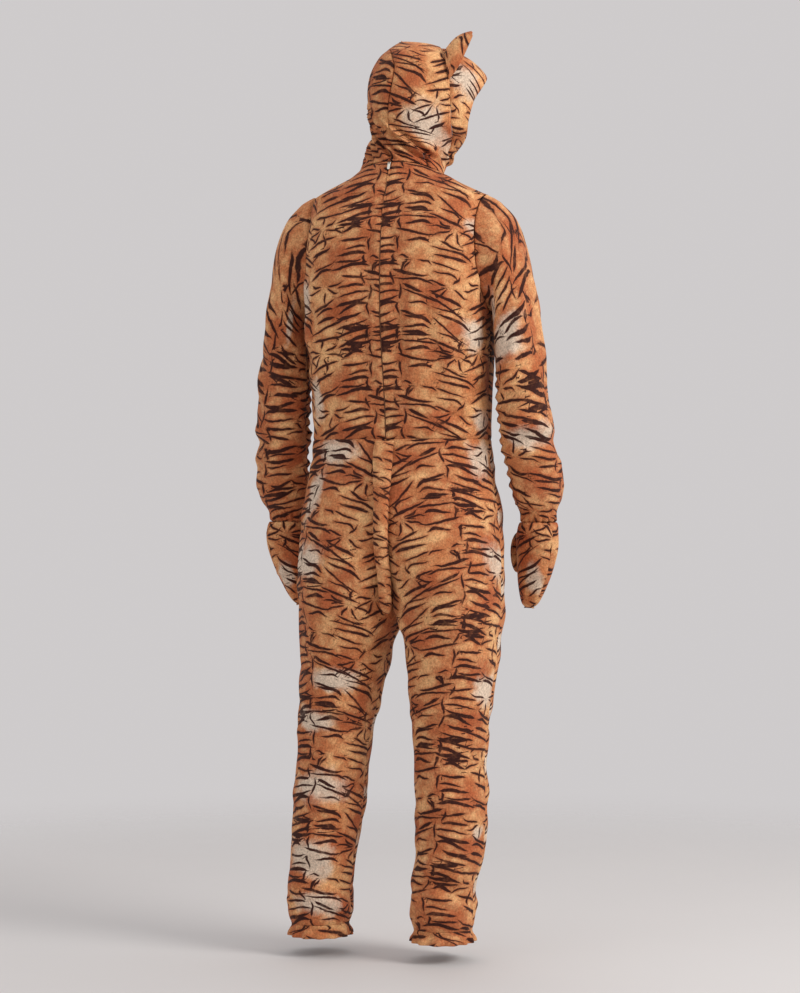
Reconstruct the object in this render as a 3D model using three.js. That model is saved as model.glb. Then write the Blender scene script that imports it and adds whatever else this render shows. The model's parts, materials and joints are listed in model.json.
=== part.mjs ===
// Worn hooded tiger suit with mittens, ears, tail and a centre-back zip, as a hollow cloth form.
// Millimetres, +Z up. The front of the suit faces -Y and its right side lies towards -X.
// Heights in the tables are above the floor; the origin is between the shoulders, where it hangs.
import * as THREE from 'three';

// Driving dimensions
const shoulderHeight = 1500;
const clothThickness = 2;
const seamGap = 0.3;
const joinGap = 0.5;
const waistHeight = 1044;
const armpitHeight = 1300;
const shoulderTipHeight = 1533;
const crotchHeight = 689;
const hemTopHeight = 66;
const hemHeight = 40;
const neckBackHeight = 1600;
const neckFrontHeight = 1552;
const neckHalfWidth = 88;
const neckBackDepth = 74;
const neckFrontDepth = 66;
const armholeBackDepth = 80;
const armholeFrontDepth = 76;
const zipGap = 3;
const hoodYaw = THREE.MathUtils.degToRad(52);
const hoodCentre = { x: -22, y: 5, height: 1740 };

// Grid counts
const bodyRows = 7;
const armholeRows = 14;
const shoulderRows = 4;
const halfColumns = 8;
const hemWaves = 14;
const hemThickness = 1.6;

// Each table has named columns and one row for each section.
const bodiceTable = {
  columns: ['height', 'halfWidth', 'back', 'front', 'power'],
  rows: [
    [1044, 183, 105, 112, 2.4],
    [1125, 183, 114, 113, 2.6],
    [1226, 186, 134, 118, 2.9],
    [1300, 188, 143, 124, 3],
    [1400, 189, 142, 129, 3],
    [1450, 188, 136, 124, 2.9],
    [1495, 185, 123, 112, 2.7],
    [1533, 179, 107, 96, 2.5],
  ],
};

const trouserTable = {
  columns: ['height', 'halfWidth', 'back', 'front', 'power'],
  rows: [
    [1044, 183, 105, 112, 2.4],
    [963, 164, 120, 119, 2.3],
    [883, 142, 134, 120, 2.2],
    [802, 122, 140, 116, 2.2],
    [745, 110.5, 136, 111, 2.2],
    [689, 104.5, 126, 108, 2.2],
    [640, 95, 112, 104, 2.1],
    [600, 91, 105, 100, 2.1],
    [519, 83, 96, 92, 2],
    [408, 73, 84, 84, 2],
    [307, 72, 83, 77, 2],
    [216, 68, 79, 72, 2],
    [145, 64, 74, 70, 2],
    [91, 65, 73, 71, 2],
    [66, 60, 68, 66, 2],
  ],
};

// Distance of each leg's middle from the centre plane, and how far it stands back.
const strideTable = {
  columns: ['height', 'left', 'right', 'setBack'],
  rows: [
    [1044, 0, 0, 0],
    [963, 28, 28, 0],
    [883, 61, 61, 0],
    [802, 88, 88, 0],
    [745, 98.5, 98.5, 0],
    [689, 104.5, 104.5, 0],
    [640, 114, 108, 2],
    [600, 119, 109, 3],
    [519, 131, 105, 3],
    [408, 145, 104, 4],
    [307, 151, 107, 8],
    [216, 163, 106, 10],
    [145, 168, 90, 10],
    [91, 171, 90, 10],
    [66, 171, 90, 10],
  ],
};

const trouserHeights = [
  1044, 1000, 955, 910, 865, 820, 780, 745, 718, 700, 689, 660, 620, 575, 530,
  488, 445, 395, 345, 300, 255, 215, 180, 150, 120, 92, 66,
];

// Soft folds of the legs: where each lies, how it slants, its size and how proud it stands.
// The angle runs from the outer seam, 90 at the back, 180 at the inner seam, 270 at the front.
const foldColumns = ['height', 'angle', 'slant', 'length', 'width', 'rise'];
const leftLegFolds = {
  columns: foldColumns,
  rows: [
    [655, 120, 35, 70, 16, 5],
    [560, 60, -20, 60, 18, -4],
    [500, 95, 8, 75, 16, 6],
    [470, 100, 4, 70, 14, -5],
    [330, 40, 30, 70, 18, 4],
    [205, 110, -25, 70, 18, 6],
    [150, 60, 20, 65, 16, 6],
    [110, 130, -18, 60, 14, 6],
    [150, 270, 15, 60, 18, 6],
    [480, 270, 0, 70, 20, -5],
  ],
};
const rightLegFolds = {
  columns: foldColumns,
  rows: [
    [655, 120, 35, 70, 16, 5],
    [560, 70, -24, 60, 18, -4],
    [505, 85, -6, 75, 16, 6],
    [472, 95, -4, 70, 14, -5],
    [310, 50, 30, 70, 18, 4],
    [190, 95, 35, 85, 16, 8],
    [150, 60, 38, 75, 14, -7],
    [118, 100, 30, 70, 13, 7],
    [150, 270, -15, 60, 18, 6],
    [480, 270, 0, 70, 20, -5],
  ],
};

// Sleeve rings: the underarm point, the outer point, the middle's place in depth and its half depth.
const sleeveTable = {
  columns: ['share', 'innerX', 'innerHeight', 'outerX', 'outerHeight', 'y', 'halfDepth', 'ripple'],
  rows: [
    [0.05, 195, 1297, 206, 1519, 0, 80, 0],
    [0.12, 199, 1286, 237, 1490, 1, 80, 0],
    [0.20, 200, 1262, 258, 1437, 2, 77, 1],
    [0.29, 200, 1230, 272, 1370, 3, 73, 2],
    [0.38, 201, 1195, 284, 1300, 4, 70, 2],
    [0.47, 201, 1155, 295, 1218, 4, 66, 2],
    [0.56, 203, 1108, 304, 1140, 1, 63, 3],
    [0.64, 206, 1062, 310, 1075, -6, 61, 3],
    [0.71, 210, 1020, 316, 1022, -18, 59, 4],
    [0.78, 214, 980, 321, 980, -32, 57, 5],
    [0.84, 217, 950, 324, 948, -44, 56, 5],
    [0.89, 222, 925, 319, 922, -51, 51, 5],
    [0.95, 232, 900, 306, 899, -57, 40, 3],
    [1.00, 233, 880, 305, 880, -60, 36, 1],
  ],
};

// Mitten rings: middle, half width across the hand and half thickness.
const mittenTable = {
  columns: ['height', 'x', 'y', 'across', 'thick'],
  rows: [
    [880, 269, -60, 36, 36],
    [866, 268, -61, 44, 38],
    [850, 266, -63, 49, 38],
    [828, 264, -67, 50, 37],
    [802, 261, -72, 47, 35],
    [776, 257, -76, 42, 31],
    [752, 252, -79, 36, 26],
    [730, 248, -81, 29, 20],
    [713, 245, -83, 21, 12],
    [704, 243, -84, 13, 0],
  ],
};
const mittenTurn = THREE.MathUtils.degToRad(38);
// Thumb rings: how far out of the mitten's edge and how far down each lies, how far it has turned
// from facing sideways to facing down, and its radius.
const thumbTable = {
  columns: ['out', 'down', 'turn', 'radius'],
  rows: [
    [1.2, 0, -14, 14],
    [8.6, 4, 15, 14.5],
    [15.1, 13, 46, 14],
    [19.1, 28, 76, 13.5],
    [19.4, 45, 88, 12.5],
    [18, 60, 90, 10],
    [16.5, 70, 95, 5.5],
  ],
};
const thumbTipHeight = 3;
const thumbHeight = 848;

// Hood sections by their rise over the middle of the head: half width, back and front reach.
const hoodTable = {
  columns: ['rise', 'halfWidth', 'back', 'front', 'seamForward', 'backPanelAngle'],
  rows: [
    [-143, 88, 74, 86, 50, 58],
    [-128, 81, 68, 96, 52, 56],
    [-114, 76, 65, 104, 53, 50],
    [-100, 75, 66, 110, 54, 42],
    [-85, 76, 70, 116, 55, 33],
    [-66, 80, 77, 124, 55, 31],
    [-45, 83, 83, 132, 54, 34],
    [-20, 87, 88, 142, 51, 38],
    [5, 88, 89, 150, 49, 42],
    [30, 87, 86, 152, 48, 44],
    [50, 83, 79, 140, 47, 42],
    [66, 76, 70, 126, 47, 34],
    [80, 65, 58, 112, 48, 22],
    [91, 51, 45, 100, 50, 0.5],
    [99, 34, 34, 90, 54, 0],
    [104, 17, 27, 82, 59, 0],
    [106, 0, 23, 78, 63, 0],
  ],
};
const hoodRises = hoodTable.rows.map((row) => row[0]);
const backPanelTopRow = 13;
const twistTop = -60;
const neckBlend = 48;
const crownSink = 10;

// Folds round the neck: how proud they stand, where they start and end with their fades, the length
// of a radian of them, and how far a radian round the neck shifts them.
const neckFolds = { proud: 3.4, low: -140, lowFade: 22, high: -48, highFade: 36, pitch: 5.6, lean: 26 };
const frontSwell = { neck: 3, brim: 8, startRow: 7, rows: 5 };

// The face edge from the neck, at share 0, to the middle of the brim, at share 1.
const faceEdgeTable = {
  columns: ['share', 'forward', 'half', 'rise'],
  rows: [
    [0, 80, 20, -143],
    [0.14, 86, 60, -122],
    [0.28, 90, 71, -95],
    [0.42, 95, 75, -58],
    [0.56, 106, 77, -18],
    [0.68, 122, 76, 6],
    [0.8, 138, 64, 26],
    [0.9, 149, 38, 38],
    [1, 153, 0, 42],
  ],
};

const earTable = {
  columns: ['share', 'halfWidth', 'cup'],
  rows: [
    [0, 33, 9],
    [0.25, 32, 10],
    [0.5, 27, 9],
    [0.75, 17, 6],
    [1, 5, 1.2],
  ],
};
const earColumns = 4;
const earSeat = 4;
const earCrown = 6;

const tailTable = {
  columns: ['height', 'halfWidth', 'halfDepth', 'shift'],
  rows: [
    [1040, 21, 4, 0],
    [1020, 21, 7, 1],
    [985, 19.5, 9, 0],
    [945, 17.5, 10.5, -1],
    [905, 16, 11.5, -1],
    [865, 15, 12.5, 0],
    [825, 14.5, 13, 1],
    [785, 14, 13, 1],
    [750, 13.5, 13, 0],
    [725, 12.5, 12, -1],
    [707, 9.5, 9, -1],
    [699, 5, 5, -1],
  ],
};
const tailRound = 14;
const tailSeat = 0.5;
// Below this height the tail hangs free of the seat.
const tailFreeHeight = 775;

// Materials
const plush = new THREE.Color(0xbe733c);
function plushMaterial(lightness) {
  const colour = plush.clone().multiplyScalar(lightness);
  return new THREE.MeshStandardMaterial({ color: colour, roughness: 0.92, metalness: 0 });
}
function zipMaterial() {
  return new THREE.MeshStandardMaterial({ color: 0x6b3a1e, roughness: 0.7, metalness: 0 });
}
function pullMaterial() {
  return new THREE.MeshStandardMaterial({ color: 0xe9e4da, roughness: 0.45, metalness: 0 });
}

const suit = new THREE.Group();
const aboveFloor = new THREE.Group();
aboveFloor.position.z = -shoulderHeight;
suit.add(aboveFloor);

function addPiece(name, geometry, material) {
  const mesh = new THREE.Mesh(geometry, material);
  mesh.name = name;
  aboveFloor.add(mesh);
}

function smoothStep(value) {
  const t = Math.min(1, Math.max(0, value));
  return t * t * (3 - 2 * t);
}

// Reads a table at a value of its first column, on a smooth curve through its rows.
function readTable(table, value) {
  const { columns, rows } = table;
  const falling = rows[0][0] > rows[rows.length - 1][0];
  const ordered = falling ? [...rows].reverse() : rows;
  const last = ordered.length - 1;
  const clamped = Math.min(ordered[last][0], Math.max(ordered[0][0], value));
  let k = 0;
  while (k < last - 1 && clamped > ordered[k + 1][0]) {
    k += 1;
  }
  const span = ordered[k + 1][0] - ordered[k][0];
  const t = (clamped - ordered[k][0]) / span;
  const result = {};
  columns.forEach((name, c) => {
    result[name] = hermite(ordered, k, c, t, span);
  });
  return result;
}

function hermite(rows, k, c, t, span) {
  const slope = (i) => {
    const low = Math.max(0, i - 1);
    const high = Math.min(rows.length - 1, i + 1);
    return (rows[high][c] - rows[low][c]) / (rows[high][0] - rows[low][0]);
  };
  const t2 = t * t;
  const t3 = t2 * t;
  return (
    (2 * t3 - 3 * t2 + 1) * rows[k][c] +
    (t3 - 2 * t2 + t) * span * slope(k) +
    (3 * t2 - 2 * t3) * rows[k + 1][c] +
    (t3 - t2) * span * slope(k + 1)
  );
}

// Normals of a grid of points, turned away from the core point of each row.
function gridNormals(grid, wrap, coreOf) {
  const rows = grid.length;
  const columns = grid[0].length;
  const column = (j) => (wrap ? (j + columns) % columns : Math.min(columns - 1, Math.max(0, j)));
  const row = (i) => Math.min(rows - 1, Math.max(0, i));
  let facing = 0;
  const normals = grid.map((line, i) =>
    line.map((point, j) => {
      const across = grid[i][column(j + 1)].clone().sub(grid[i][column(j - 1)]);
      const along = grid[row(i + 1)][j].clone().sub(grid[row(i - 1)][j]);
      const normal = across.cross(along).normalize();
      facing += normal.dot(point.clone().sub(coreOf(i)));
      return normal;
    }),
  );
  const sign = facing < 0 ? -1 : 1;
  normals.flat().forEach((normal) => normal.multiplyScalar(sign));
  return { normals, sign };
}

// Moves a grid's edges back by half a seam gap, or by another amount where one is given.
function trimEdges(grid, amounts) {
  const lastRow = grid.length - 1;
  const lastColumn = grid[0].length - 1;
  const pull = (point, towards, amount) => {
    const step = towards.clone().sub(point);
    point.addScaledVector(step.normalize(), amount);
  };
  grid.forEach((line) => {
    if (amounts.left) pull(line[0], line[1], amounts.left);
    if (amounts.right) pull(line[lastColumn], line[lastColumn - 1], amounts.right);
  });
  grid[0].forEach((point, j) => {
    if (amounts.bottom) pull(point, grid[1][j], amounts.bottom);
    if (amounts.top) pull(grid[lastRow][j], grid[lastRow - 1][j], amounts.top);
  });
}

// A cloth wall: the outer grid, an inner grid one cloth thickness in, and the edges between them.
// With neighbours, the grid's first and last columns belong to the pieces sewn on at each side, and
// only turn the wall's edges to meet theirs. capHeight closes the last row to a point beyond it.
function clothWall(grid, options) {
  const { wrap = false, coreOf, thickness = clothThickness, neighbours = false } = options;
  const { trim = {}, place = null, evenEdge = null, capHeight = 0 } = options;
  const full = gridNormals(grid, wrap, coreOf);
  const inner = (line) => (neighbours ? line.slice(1, -1) : line);
  const outer = grid.map(inner);
  const normals = full.normals.map(inner);
  const { sign } = full;
  trimEdges(outer, trim);
  if (place) {
    place(outer);
  }
  if (evenEdge) {
    evenEdge(normals);
  }
  const rows = outer.length;
  const columns = outer[0].length;
  const positions = [];
  outer.flat().forEach((p) => positions.push(p.x, p.y, p.z));
  outer.forEach((line, i) =>
    line.forEach((p, j) => {
      const q = p.clone().addScaledVector(normals[i][j], -thickness);
      positions.push(q.x, q.y, q.z);
    }),
  );
  const inside = rows * columns;
  const faces = [];
  const quad = (a, b, c, d) => {
    if (sign > 0) {
      faces.push(a, b, c, a, c, d);
    } else {
      faces.push(a, c, b, a, d, c);
    }
  };
  const at = (i, j) => i * columns + (j % columns);
  const lastColumn = wrap ? columns : columns - 1;
  for (let i = 0; i < rows - 1; i += 1) {
    for (let j = 0; j < lastColumn; j += 1) {
      const corners = [at(i, j), at(i, j + 1), at(i + 1, j + 1), at(i + 1, j)];
      quad(...corners);
      quad(...corners.reverse().map((k) => k + inside));
    }
  }
  for (let j = 0; j < lastColumn; j += 1) {
    quad(at(0, j), at(0, j) + inside, at(0, j + 1) + inside, at(0, j + 1));
    if (!capHeight) {
      const i = rows - 1;
      quad(at(i, j), at(i, j + 1), at(i, j + 1) + inside, at(i, j) + inside);
    }
  }
  if (!wrap) {
    for (let i = 0; i < rows - 1; i += 1) {
      const j = columns - 1;
      quad(at(i, 0), at(i + 1, 0), at(i + 1, 0) + inside, at(i, 0) + inside);
      quad(at(i, j), at(i, j) + inside, at(i + 1, j) + inside, at(i + 1, j));
    }
  }
  if (capHeight) {
    closeEnd(positions, faces, outer, thickness, capHeight, at, inside, sign);
  }
  return makeGeometry(positions, faces);
}

function meanPoint(points) {
  const sum = new THREE.Vector3();
  points.forEach((p) => sum.add(p));
  return sum.divideScalar(points.length);
}

function closeEnd(positions, faces, outer, thickness, capHeight, at, inside, sign) {
  const rows = outer.length;
  const end = meanPoint(outer[rows - 1]);
  const direction = end.clone().sub(meanPoint(outer[rows - 2])).normalize();
  const outerTip = end.clone().addScaledVector(direction, capHeight);
  const innerTip = end.clone().addScaledVector(direction, capHeight - thickness);
  const tip = positions.length / 3;
  positions.push(outerTip.x, outerTip.y, outerTip.z, innerTip.x, innerTip.y, innerTip.z);
  for (let j = 0; j < outer[0].length; j += 1) {
    const a = at(rows - 1, j);
    const b = at(rows - 1, j + 1);
    if (sign > 0) {
      faces.push(a, b, tip, b + inside, a + inside, tip + 1);
    } else {
      faces.push(b, a, tip, a + inside, b + inside, tip + 1);
    }
  }
}

function makeGeometry(positions, faces) {
  const geometry = new THREE.BufferGeometry();
  geometry.setAttribute('position', new THREE.Float32BufferAttribute(positions, 3));
  geometry.setIndex(faces);
  geometry.computeVertexNormals();
  return geometry;
}

// A solid of stacked rings with flat ends, each closed round a middle point.
function ringSolid(rings, middleOf = meanPoint) {
  const count = rings[0].length;
  const lastRing = rings.length - 1;
  const points = [...rings.flat(), middleOf(rings[0]), middleOf(rings[lastRing])];
  const first = rings.length * count;
  const faces = [];
  const at = (i, j) => i * count + (j % count);
  for (let j = 0; j < count; j += 1) {
    for (let i = 0; i < lastRing; i += 1) {
      faces.push(at(i, j), at(i, j + 1), at(i + 1, j + 1), at(i, j), at(i + 1, j + 1), at(i + 1, j));
    }
    faces.push(first, at(0, j + 1), at(0, j));
    faces.push(first + 1, at(lastRing, j), at(lastRing, j + 1));
  }
  if (signedVolume(points, faces) < 0) {
    faces.reverse();
  }
  return makeGeometry(points.flatMap((p) => [p.x, p.y, p.z]), faces);
}

function signedVolume(points, faces) {
  let volume = 0;
  for (let k = 0; k < faces.length; k += 3) {
    const [a, b, c] = [points[faces[k]], points[faces[k + 1]], points[faces[k + 2]]];
    volume += a.dot(b.clone().cross(c)) / 6;
  }
  return volume;
}

// Distance from the middle of a rounded section to its edge, in a direction given by its two parts.
function sectionRadius(partWide, partDeep, halfWidth, depth, power) {
  const wide = Math.abs(partWide / halfWidth) ** power;
  const deep = Math.abs(partDeep / depth) ** power;
  return (wide + deep) ** (-1 / power);
}

// Bodice

function bodiceSize(height) {
  return readTable(bodiceTable, height);
}

function neckHeight(angle) {
  const middle = (neckBackHeight + neckFrontHeight) / 2;
  return middle + ((neckBackHeight - neckFrontHeight) / 2) * Math.cos(angle);
}

// Rows run from the waist to the armpit, round the armhole, and up the shoulder slope to the neck.
function bodiceRows() {
  const rows = [];
  for (let i = 0; i < bodyRows; i += 1) {
    rows.push({ height: waistHeight + ((armpitHeight - waistHeight) * i) / bodyRows, slope: 0, arm: null });
  }
  const middle = (armpitHeight + shoulderTipHeight) / 2;
  const half = (shoulderTipHeight - armpitHeight) / 2;
  for (let i = 0; i <= armholeRows; i += 1) {
    const turn = -Math.PI / 2 + (Math.PI * i) / armholeRows;
    rows.push({ height: middle + half * Math.sin(turn), slope: 0, arm: turn });
  }
  for (let i = 1; i <= shoulderRows; i += 1) {
    rows.push({ height: shoulderTipHeight, slope: i / shoulderRows, arm: null });
  }
  return rows;
}

// A point of the bodice: the angle is 0 at the centre back, 90 degrees at the left side.
function bodicePoint(row, angle) {
  const size = bodiceSize(row.height);
  const s = row.slope;
  const deep = Math.cos(angle) > 0;
  const halfWidth = THREE.MathUtils.lerp(size.halfWidth, neckHalfWidth, s);
  const fullDepth = deep ? size.back : size.front;
  const neckDepth = deep ? neckBackDepth : neckFrontDepth;
  const depth = THREE.MathUtils.lerp(fullDepth, neckDepth, s);
  const power = THREE.MathUtils.lerp(size.power, 2, s);
  const radius = sectionRadius(Math.sin(angle), Math.cos(angle), halfWidth, depth, power);
  const height = THREE.MathUtils.lerp(row.height, neckHeight(angle), s);
  return new THREE.Vector3(radius * Math.sin(angle), radius * Math.cos(angle), height);
}

// Where the armhole cuts a row, as an angle from the centre back or the centre front.
function armholeAngle(row, isBack) {
  if (row.arm === null) {
    return Math.PI / 2;
  }
  const size = bodiceSize(row.height);
  const reach = (isBack ? armholeBackDepth : armholeFrontDepth) * Math.cos(row.arm);
  const depth = isBack ? size.back : size.front;
  const wide = size.halfWidth * (1 - (reach / depth) ** size.power) ** (1 / size.power);
  return Math.atan2(wide, reach);
}

function makeBodice() {
  const rows = bodiceRows();
  const coreOf = (i) => new THREE.Vector3(0, 0, rows[i].height);
  const half = seamGap / 2;
  for (const side of [1, -1]) {
    const grid = rows.map((row) => {
      const line = [];
      for (let j = -1; j <= halfColumns + 1; j += 1) {
        line.push(bodicePoint(row, (side * armholeAngle(row, true) * j) / halfColumns));
      }
      return line;
    });
    const trim = { left: zipGap / 2, right: half, bottom: half, top: half };
    const name = side > 0 ? 'bodice_back_left' : 'bodice_back_right';
    addPiece(name, clothWall(grid, { coreOf, neighbours: true, trim }), plushMaterial(0.98));
  }
  const grid = rows.map((row) => {
    const line = [];
    for (let j = -halfColumns - 1; j <= halfColumns + 1; j += 1) {
      line.push(bodicePoint(row, Math.PI + (armholeAngle(row, false) * j) / halfColumns));
    }
    return line;
  });
  const trim = { left: half, right: half, bottom: half, top: half };
  addPiece('bodice_front', clothWall(grid, { coreOf, neighbours: true, trim }), plushMaterial(1));
}

// Sleeves

function sleeveGrid() {
  const rows = bodiceRows().filter((row) => row.arm !== null);
  const count = 2 * armholeRows;
  const turnOf = (j) => -Math.PI / 2 + (2 * Math.PI * j) / count;
  const first = [];
  for (let j = 0; j < count; j += 1) {
    const isBack = j <= armholeRows;
    const row = rows[isBack ? j : count - j];
    const angle = isBack ? armholeAngle(row, true) : Math.PI - armholeAngle(row, false);
    const point = bodicePoint(row, angle);
    point.x += joinGap;
    first.push(point);
  }
  const grid = [first];
  sleeveTable.rows.forEach((row, i) => {
    const ring = readTable(sleeveTable, row[0]);
    const inner = new THREE.Vector3(ring.innerX, ring.y, ring.innerHeight);
    const outer = new THREE.Vector3(ring.outerX, ring.y, ring.outerHeight);
    const middle = inner.clone().lerp(outer, 0.5);
    const reach = outer.clone().sub(middle);
    const line = [];
    for (let j = 0; j < count; j += 1) {
      const turn = turnOf(j);
      const wave = 1 + (ring.ripple / 60) * Math.sin(turn * 5 + i * 1.9);
      const point = middle.clone().addScaledVector(reach, Math.sin(turn) * wave);
      point.y += ring.halfDepth * Math.cos(turn) * wave;
      line.push(point);
    }
    grid.push(line);
  });
  return grid;
}

function mirrorGrid(grid) {
  return grid.map((line) => line.map((p) => new THREE.Vector3(-p.x, p.y, p.z)));
}

function makeSleeves() {
  for (const side of [1, -1]) {
    const grid = side > 0 ? sleeveGrid() : mirrorGrid(sleeveGrid());
    const coreOf = (i) => meanPoint(grid[i]);
    const name = side > 0 ? 'sleeve_left' : 'sleeve_right';
    addPiece(name, clothWall(grid, { wrap: true, coreOf }), plushMaterial(0.94));
  }
}

// Mittens

function mittenAxes(side) {
  return {
    across: new THREE.Vector3(-side * Math.cos(mittenTurn), -Math.sin(mittenTurn), 0),
    thick: new THREE.Vector3(-side * Math.sin(mittenTurn), Math.cos(mittenTurn), 0),
  };
}

function makeMittenHalf(side, start, name) {
  const { across, thick } = mittenAxes(side);
  const columns = 7;
  const middles = [];
  const grid = mittenTable.rows.map((row, i) => {
    const ring = readTable(mittenTable, row[0]);
    const middle = new THREE.Vector3(side * ring.x, ring.y, ring.height - (i === 0 ? joinGap : 0));
    middles.push(middle);
    const line = [];
    for (let j = 0; j <= columns; j += 1) {
      const turn = start + (Math.PI * j) / columns;
      const point = middle.clone().addScaledVector(across, ring.across * Math.cos(turn));
      line.push(point.addScaledVector(thick, ring.thick * Math.sin(turn)));
    }
    return line;
  });
  const face = Math.sin(start + Math.PI / 2);
  const tipRow = grid.length - 1;
  grid[tipRow].forEach((point) => point.addScaledVector(thick, (face * seamGap) / 2));
  const half = seamGap / 2;
  const evenEdge = (normals) => {
    normals.forEach((line, i) => {
      [line[0], line[columns]].forEach((normal) => {
        normal.addScaledVector(thick, -normal.dot(thick)).normalize();
      });
      if (i === tipRow) {
        line.forEach((normal) => normal.addScaledVector(thick, -normal.dot(thick)).normalize());
      }
    });
  };
  const coreOf = (i) => middles[i];
  const trim = { left: half, right: half };
  addPiece(name, clothWall(grid, { coreOf, trim, evenEdge }), plushMaterial(0.9));
}

function makeThumb(side, name) {
  const { across } = mittenAxes(side);
  const ring = readTable(mittenTable, thumbHeight);
  const down = new THREE.Vector3(0, 0, -1);
  const base = new THREE.Vector3(side * ring.x, ring.y, thumbHeight).addScaledVector(across, ring.across);
  const sideways = across.clone().cross(down);
  const count = 10;
  const middles = [];
  const grid = thumbTable.rows.map(([out, drop, turned, radius]) => {
    const middle = base.clone().addScaledVector(across, out).addScaledVector(down, drop);
    middles.push(middle);
    const tilt = THREE.MathUtils.degToRad(turned);
    const third = down.clone().multiplyScalar(Math.cos(tilt)).addScaledVector(across, -Math.sin(tilt));
    const line = [];
    for (let j = 0; j < count; j += 1) {
      const turn = (2 * Math.PI * j) / count;
      const point = middle.clone().addScaledVector(sideways, radius * Math.cos(turn));
      line.push(point.addScaledVector(third, radius * Math.sin(turn)));
    }
    return line;
  });
  const coreOf = (i) => middles[i];
  addPiece(name, clothWall(grid, { wrap: true, coreOf, capHeight: thumbTipHeight }), plushMaterial(0.9));
}

function makeMittens() {
  for (const side of [1, -1]) {
    const hand = side > 0 ? 'left' : 'right';
    makeMittenHalf(side, 0, `mitten_palm_${hand}`);
    makeMittenHalf(side, Math.PI, `mitten_back_${hand}`);
    makeThumb(side, `mitten_thumb_${hand}`);
  }
}

// Legs

function legSize(side, height) {
  const size = readTable(trouserTable, height);
  const stride = readTable(strideTable, height);
  const out = Math.min(side > 0 ? stride.left : stride.right, height > crotchHeight ? size.halfWidth : Infinity);
  return { ...size, out, setBack: stride.setBack };
}

function legFold(side, height, angle, size) {
  const folds = side > 0 ? leftLegFolds : rightLegFolds;
  const mean = (size.halfWidth + size.back) / 2;
  let rise = 0;
  folds.rows.forEach(([foldHeight, foldAngle, slant, length, width, foldRise]) => {
    const turn = ((((angle - foldAngle) % 360) + 540) % 360) - 180;
    const sideways = THREE.MathUtils.degToRad(turn) * mean;
    const up = height - foldHeight;
    const tilt = THREE.MathUtils.degToRad(slant);
    const along = sideways * Math.cos(tilt) + up * Math.sin(tilt);
    const across = up * Math.cos(tilt) - sideways * Math.sin(tilt);
    rise += foldRise * Math.exp(-((along / length) ** 2) - (across / width) ** 2);
  });
  return rise;
}

function legPoint(side, height, turn, size) {
  const depth = Math.sin(turn) > 0 ? size.back : size.front;
  const radius = sectionRadius(Math.cos(turn), Math.sin(turn), size.halfWidth, depth, size.power);
  const grown = radius + legFold(side, height, THREE.MathUtils.radToDeg(turn), size);
  const x = size.out + grown * Math.cos(turn);
  return new THREE.Vector3(side * x, size.setBack + grown * Math.sin(turn), height);
}

// The turn from the outer seam to the centre seam, or to the inner seam below the crotch.
function innerTurn(size, height, isBack) {
  if (height <= crotchHeight) {
    return Math.PI;
  }
  const depth = isBack ? size.back : size.front;
  const share = Math.min(1, size.out / size.halfWidth);
  const deep = depth * (1 - share ** size.power) ** (1 / size.power);
  return Math.atan2(deep, -size.out);
}

function makeLegPanel(side, isBack, name) {
  const sizes = trouserHeights.map((height) => legSize(side, height));
  const direction = isBack ? 1 : -1;
  const grid = trouserHeights.map((height, i) => {
    const line = [];
    const reach = innerTurn(sizes[i], height, isBack);
    for (let j = -1; j <= halfColumns + 1; j += 1) {
      const turn = (direction * reach * j) / halfColumns;
      line.push(legPoint(side, height, turn, sizes[i]));
    }
    return line;
  });
  const half = seamGap / 2;
  const place = (outer) =>
    outer.forEach((line, i) => {
      if (trouserHeights[i] > crotchHeight) {
        line[halfColumns].x = side * half;
      } else {
        line[halfColumns].y += direction * half;
      }
    });
  const trim = { left: half, bottom: half, top: half };
  const coreOf = (i) => new THREE.Vector3(side * sizes[i].out, sizes[i].setBack, trouserHeights[i]);
  const wall = clothWall(grid, { coreOf, neighbours: true, trim, place });
  addPiece(name, wall, plushMaterial(isBack ? 0.97 : 1));
}

// The gathered edge under the elastic: a short flared ring in even waves.
function makeHem(side, name) {
  const size = legSize(side, hemTopHeight);
  const count = hemWaves * 4;
  const levels = [
    { height: hemTopHeight - joinGap, grow: 0, wave: 0.3 },
    { height: hemTopHeight - 12, grow: -2.5, wave: 1.8 },
    { height: hemHeight, grow: 4, wave: 3.6 },
  ];
  const grid = levels.map((level) => {
    const line = [];
    for (let j = 0; j < count; j += 1) {
      const turn = (2 * Math.PI * j) / count;
      const depth = Math.sin(turn) > 0 ? size.back : size.front;
      const radius = sectionRadius(Math.cos(turn), Math.sin(turn), size.halfWidth, depth, size.power);
      const grown = radius + level.grow + level.wave * Math.sin(turn * hemWaves);
      const x = size.out + grown * Math.cos(turn);
      line.push(new THREE.Vector3(side * x, size.setBack + grown * Math.sin(turn), level.height));
    }
    return line;
  });
  const coreOf = (i) => new THREE.Vector3(side * size.out, size.setBack, levels[i].height);
  addPiece(name, clothWall(grid, { wrap: true, coreOf, thickness: hemThickness }), plushMaterial(0.85));
}

function makeLegs() {
  for (const side of [1, -1]) {
    const leg = side > 0 ? 'left' : 'right';
    makeLegPanel(side, true, `leg_back_${leg}`);
    makeLegPanel(side, false, `leg_front_${leg}`);
    makeHem(side, `hem_${leg}`);
  }
}

// Tail

function trouserBackAt(height, x) {
  const size = legSize(1, height);
  const share = Math.min(1, Math.abs((size.out - Math.abs(x)) / size.halfWidth));
  return size.setBack + size.back * (1 - share ** size.power) ** (1 / size.power);
}

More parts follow.
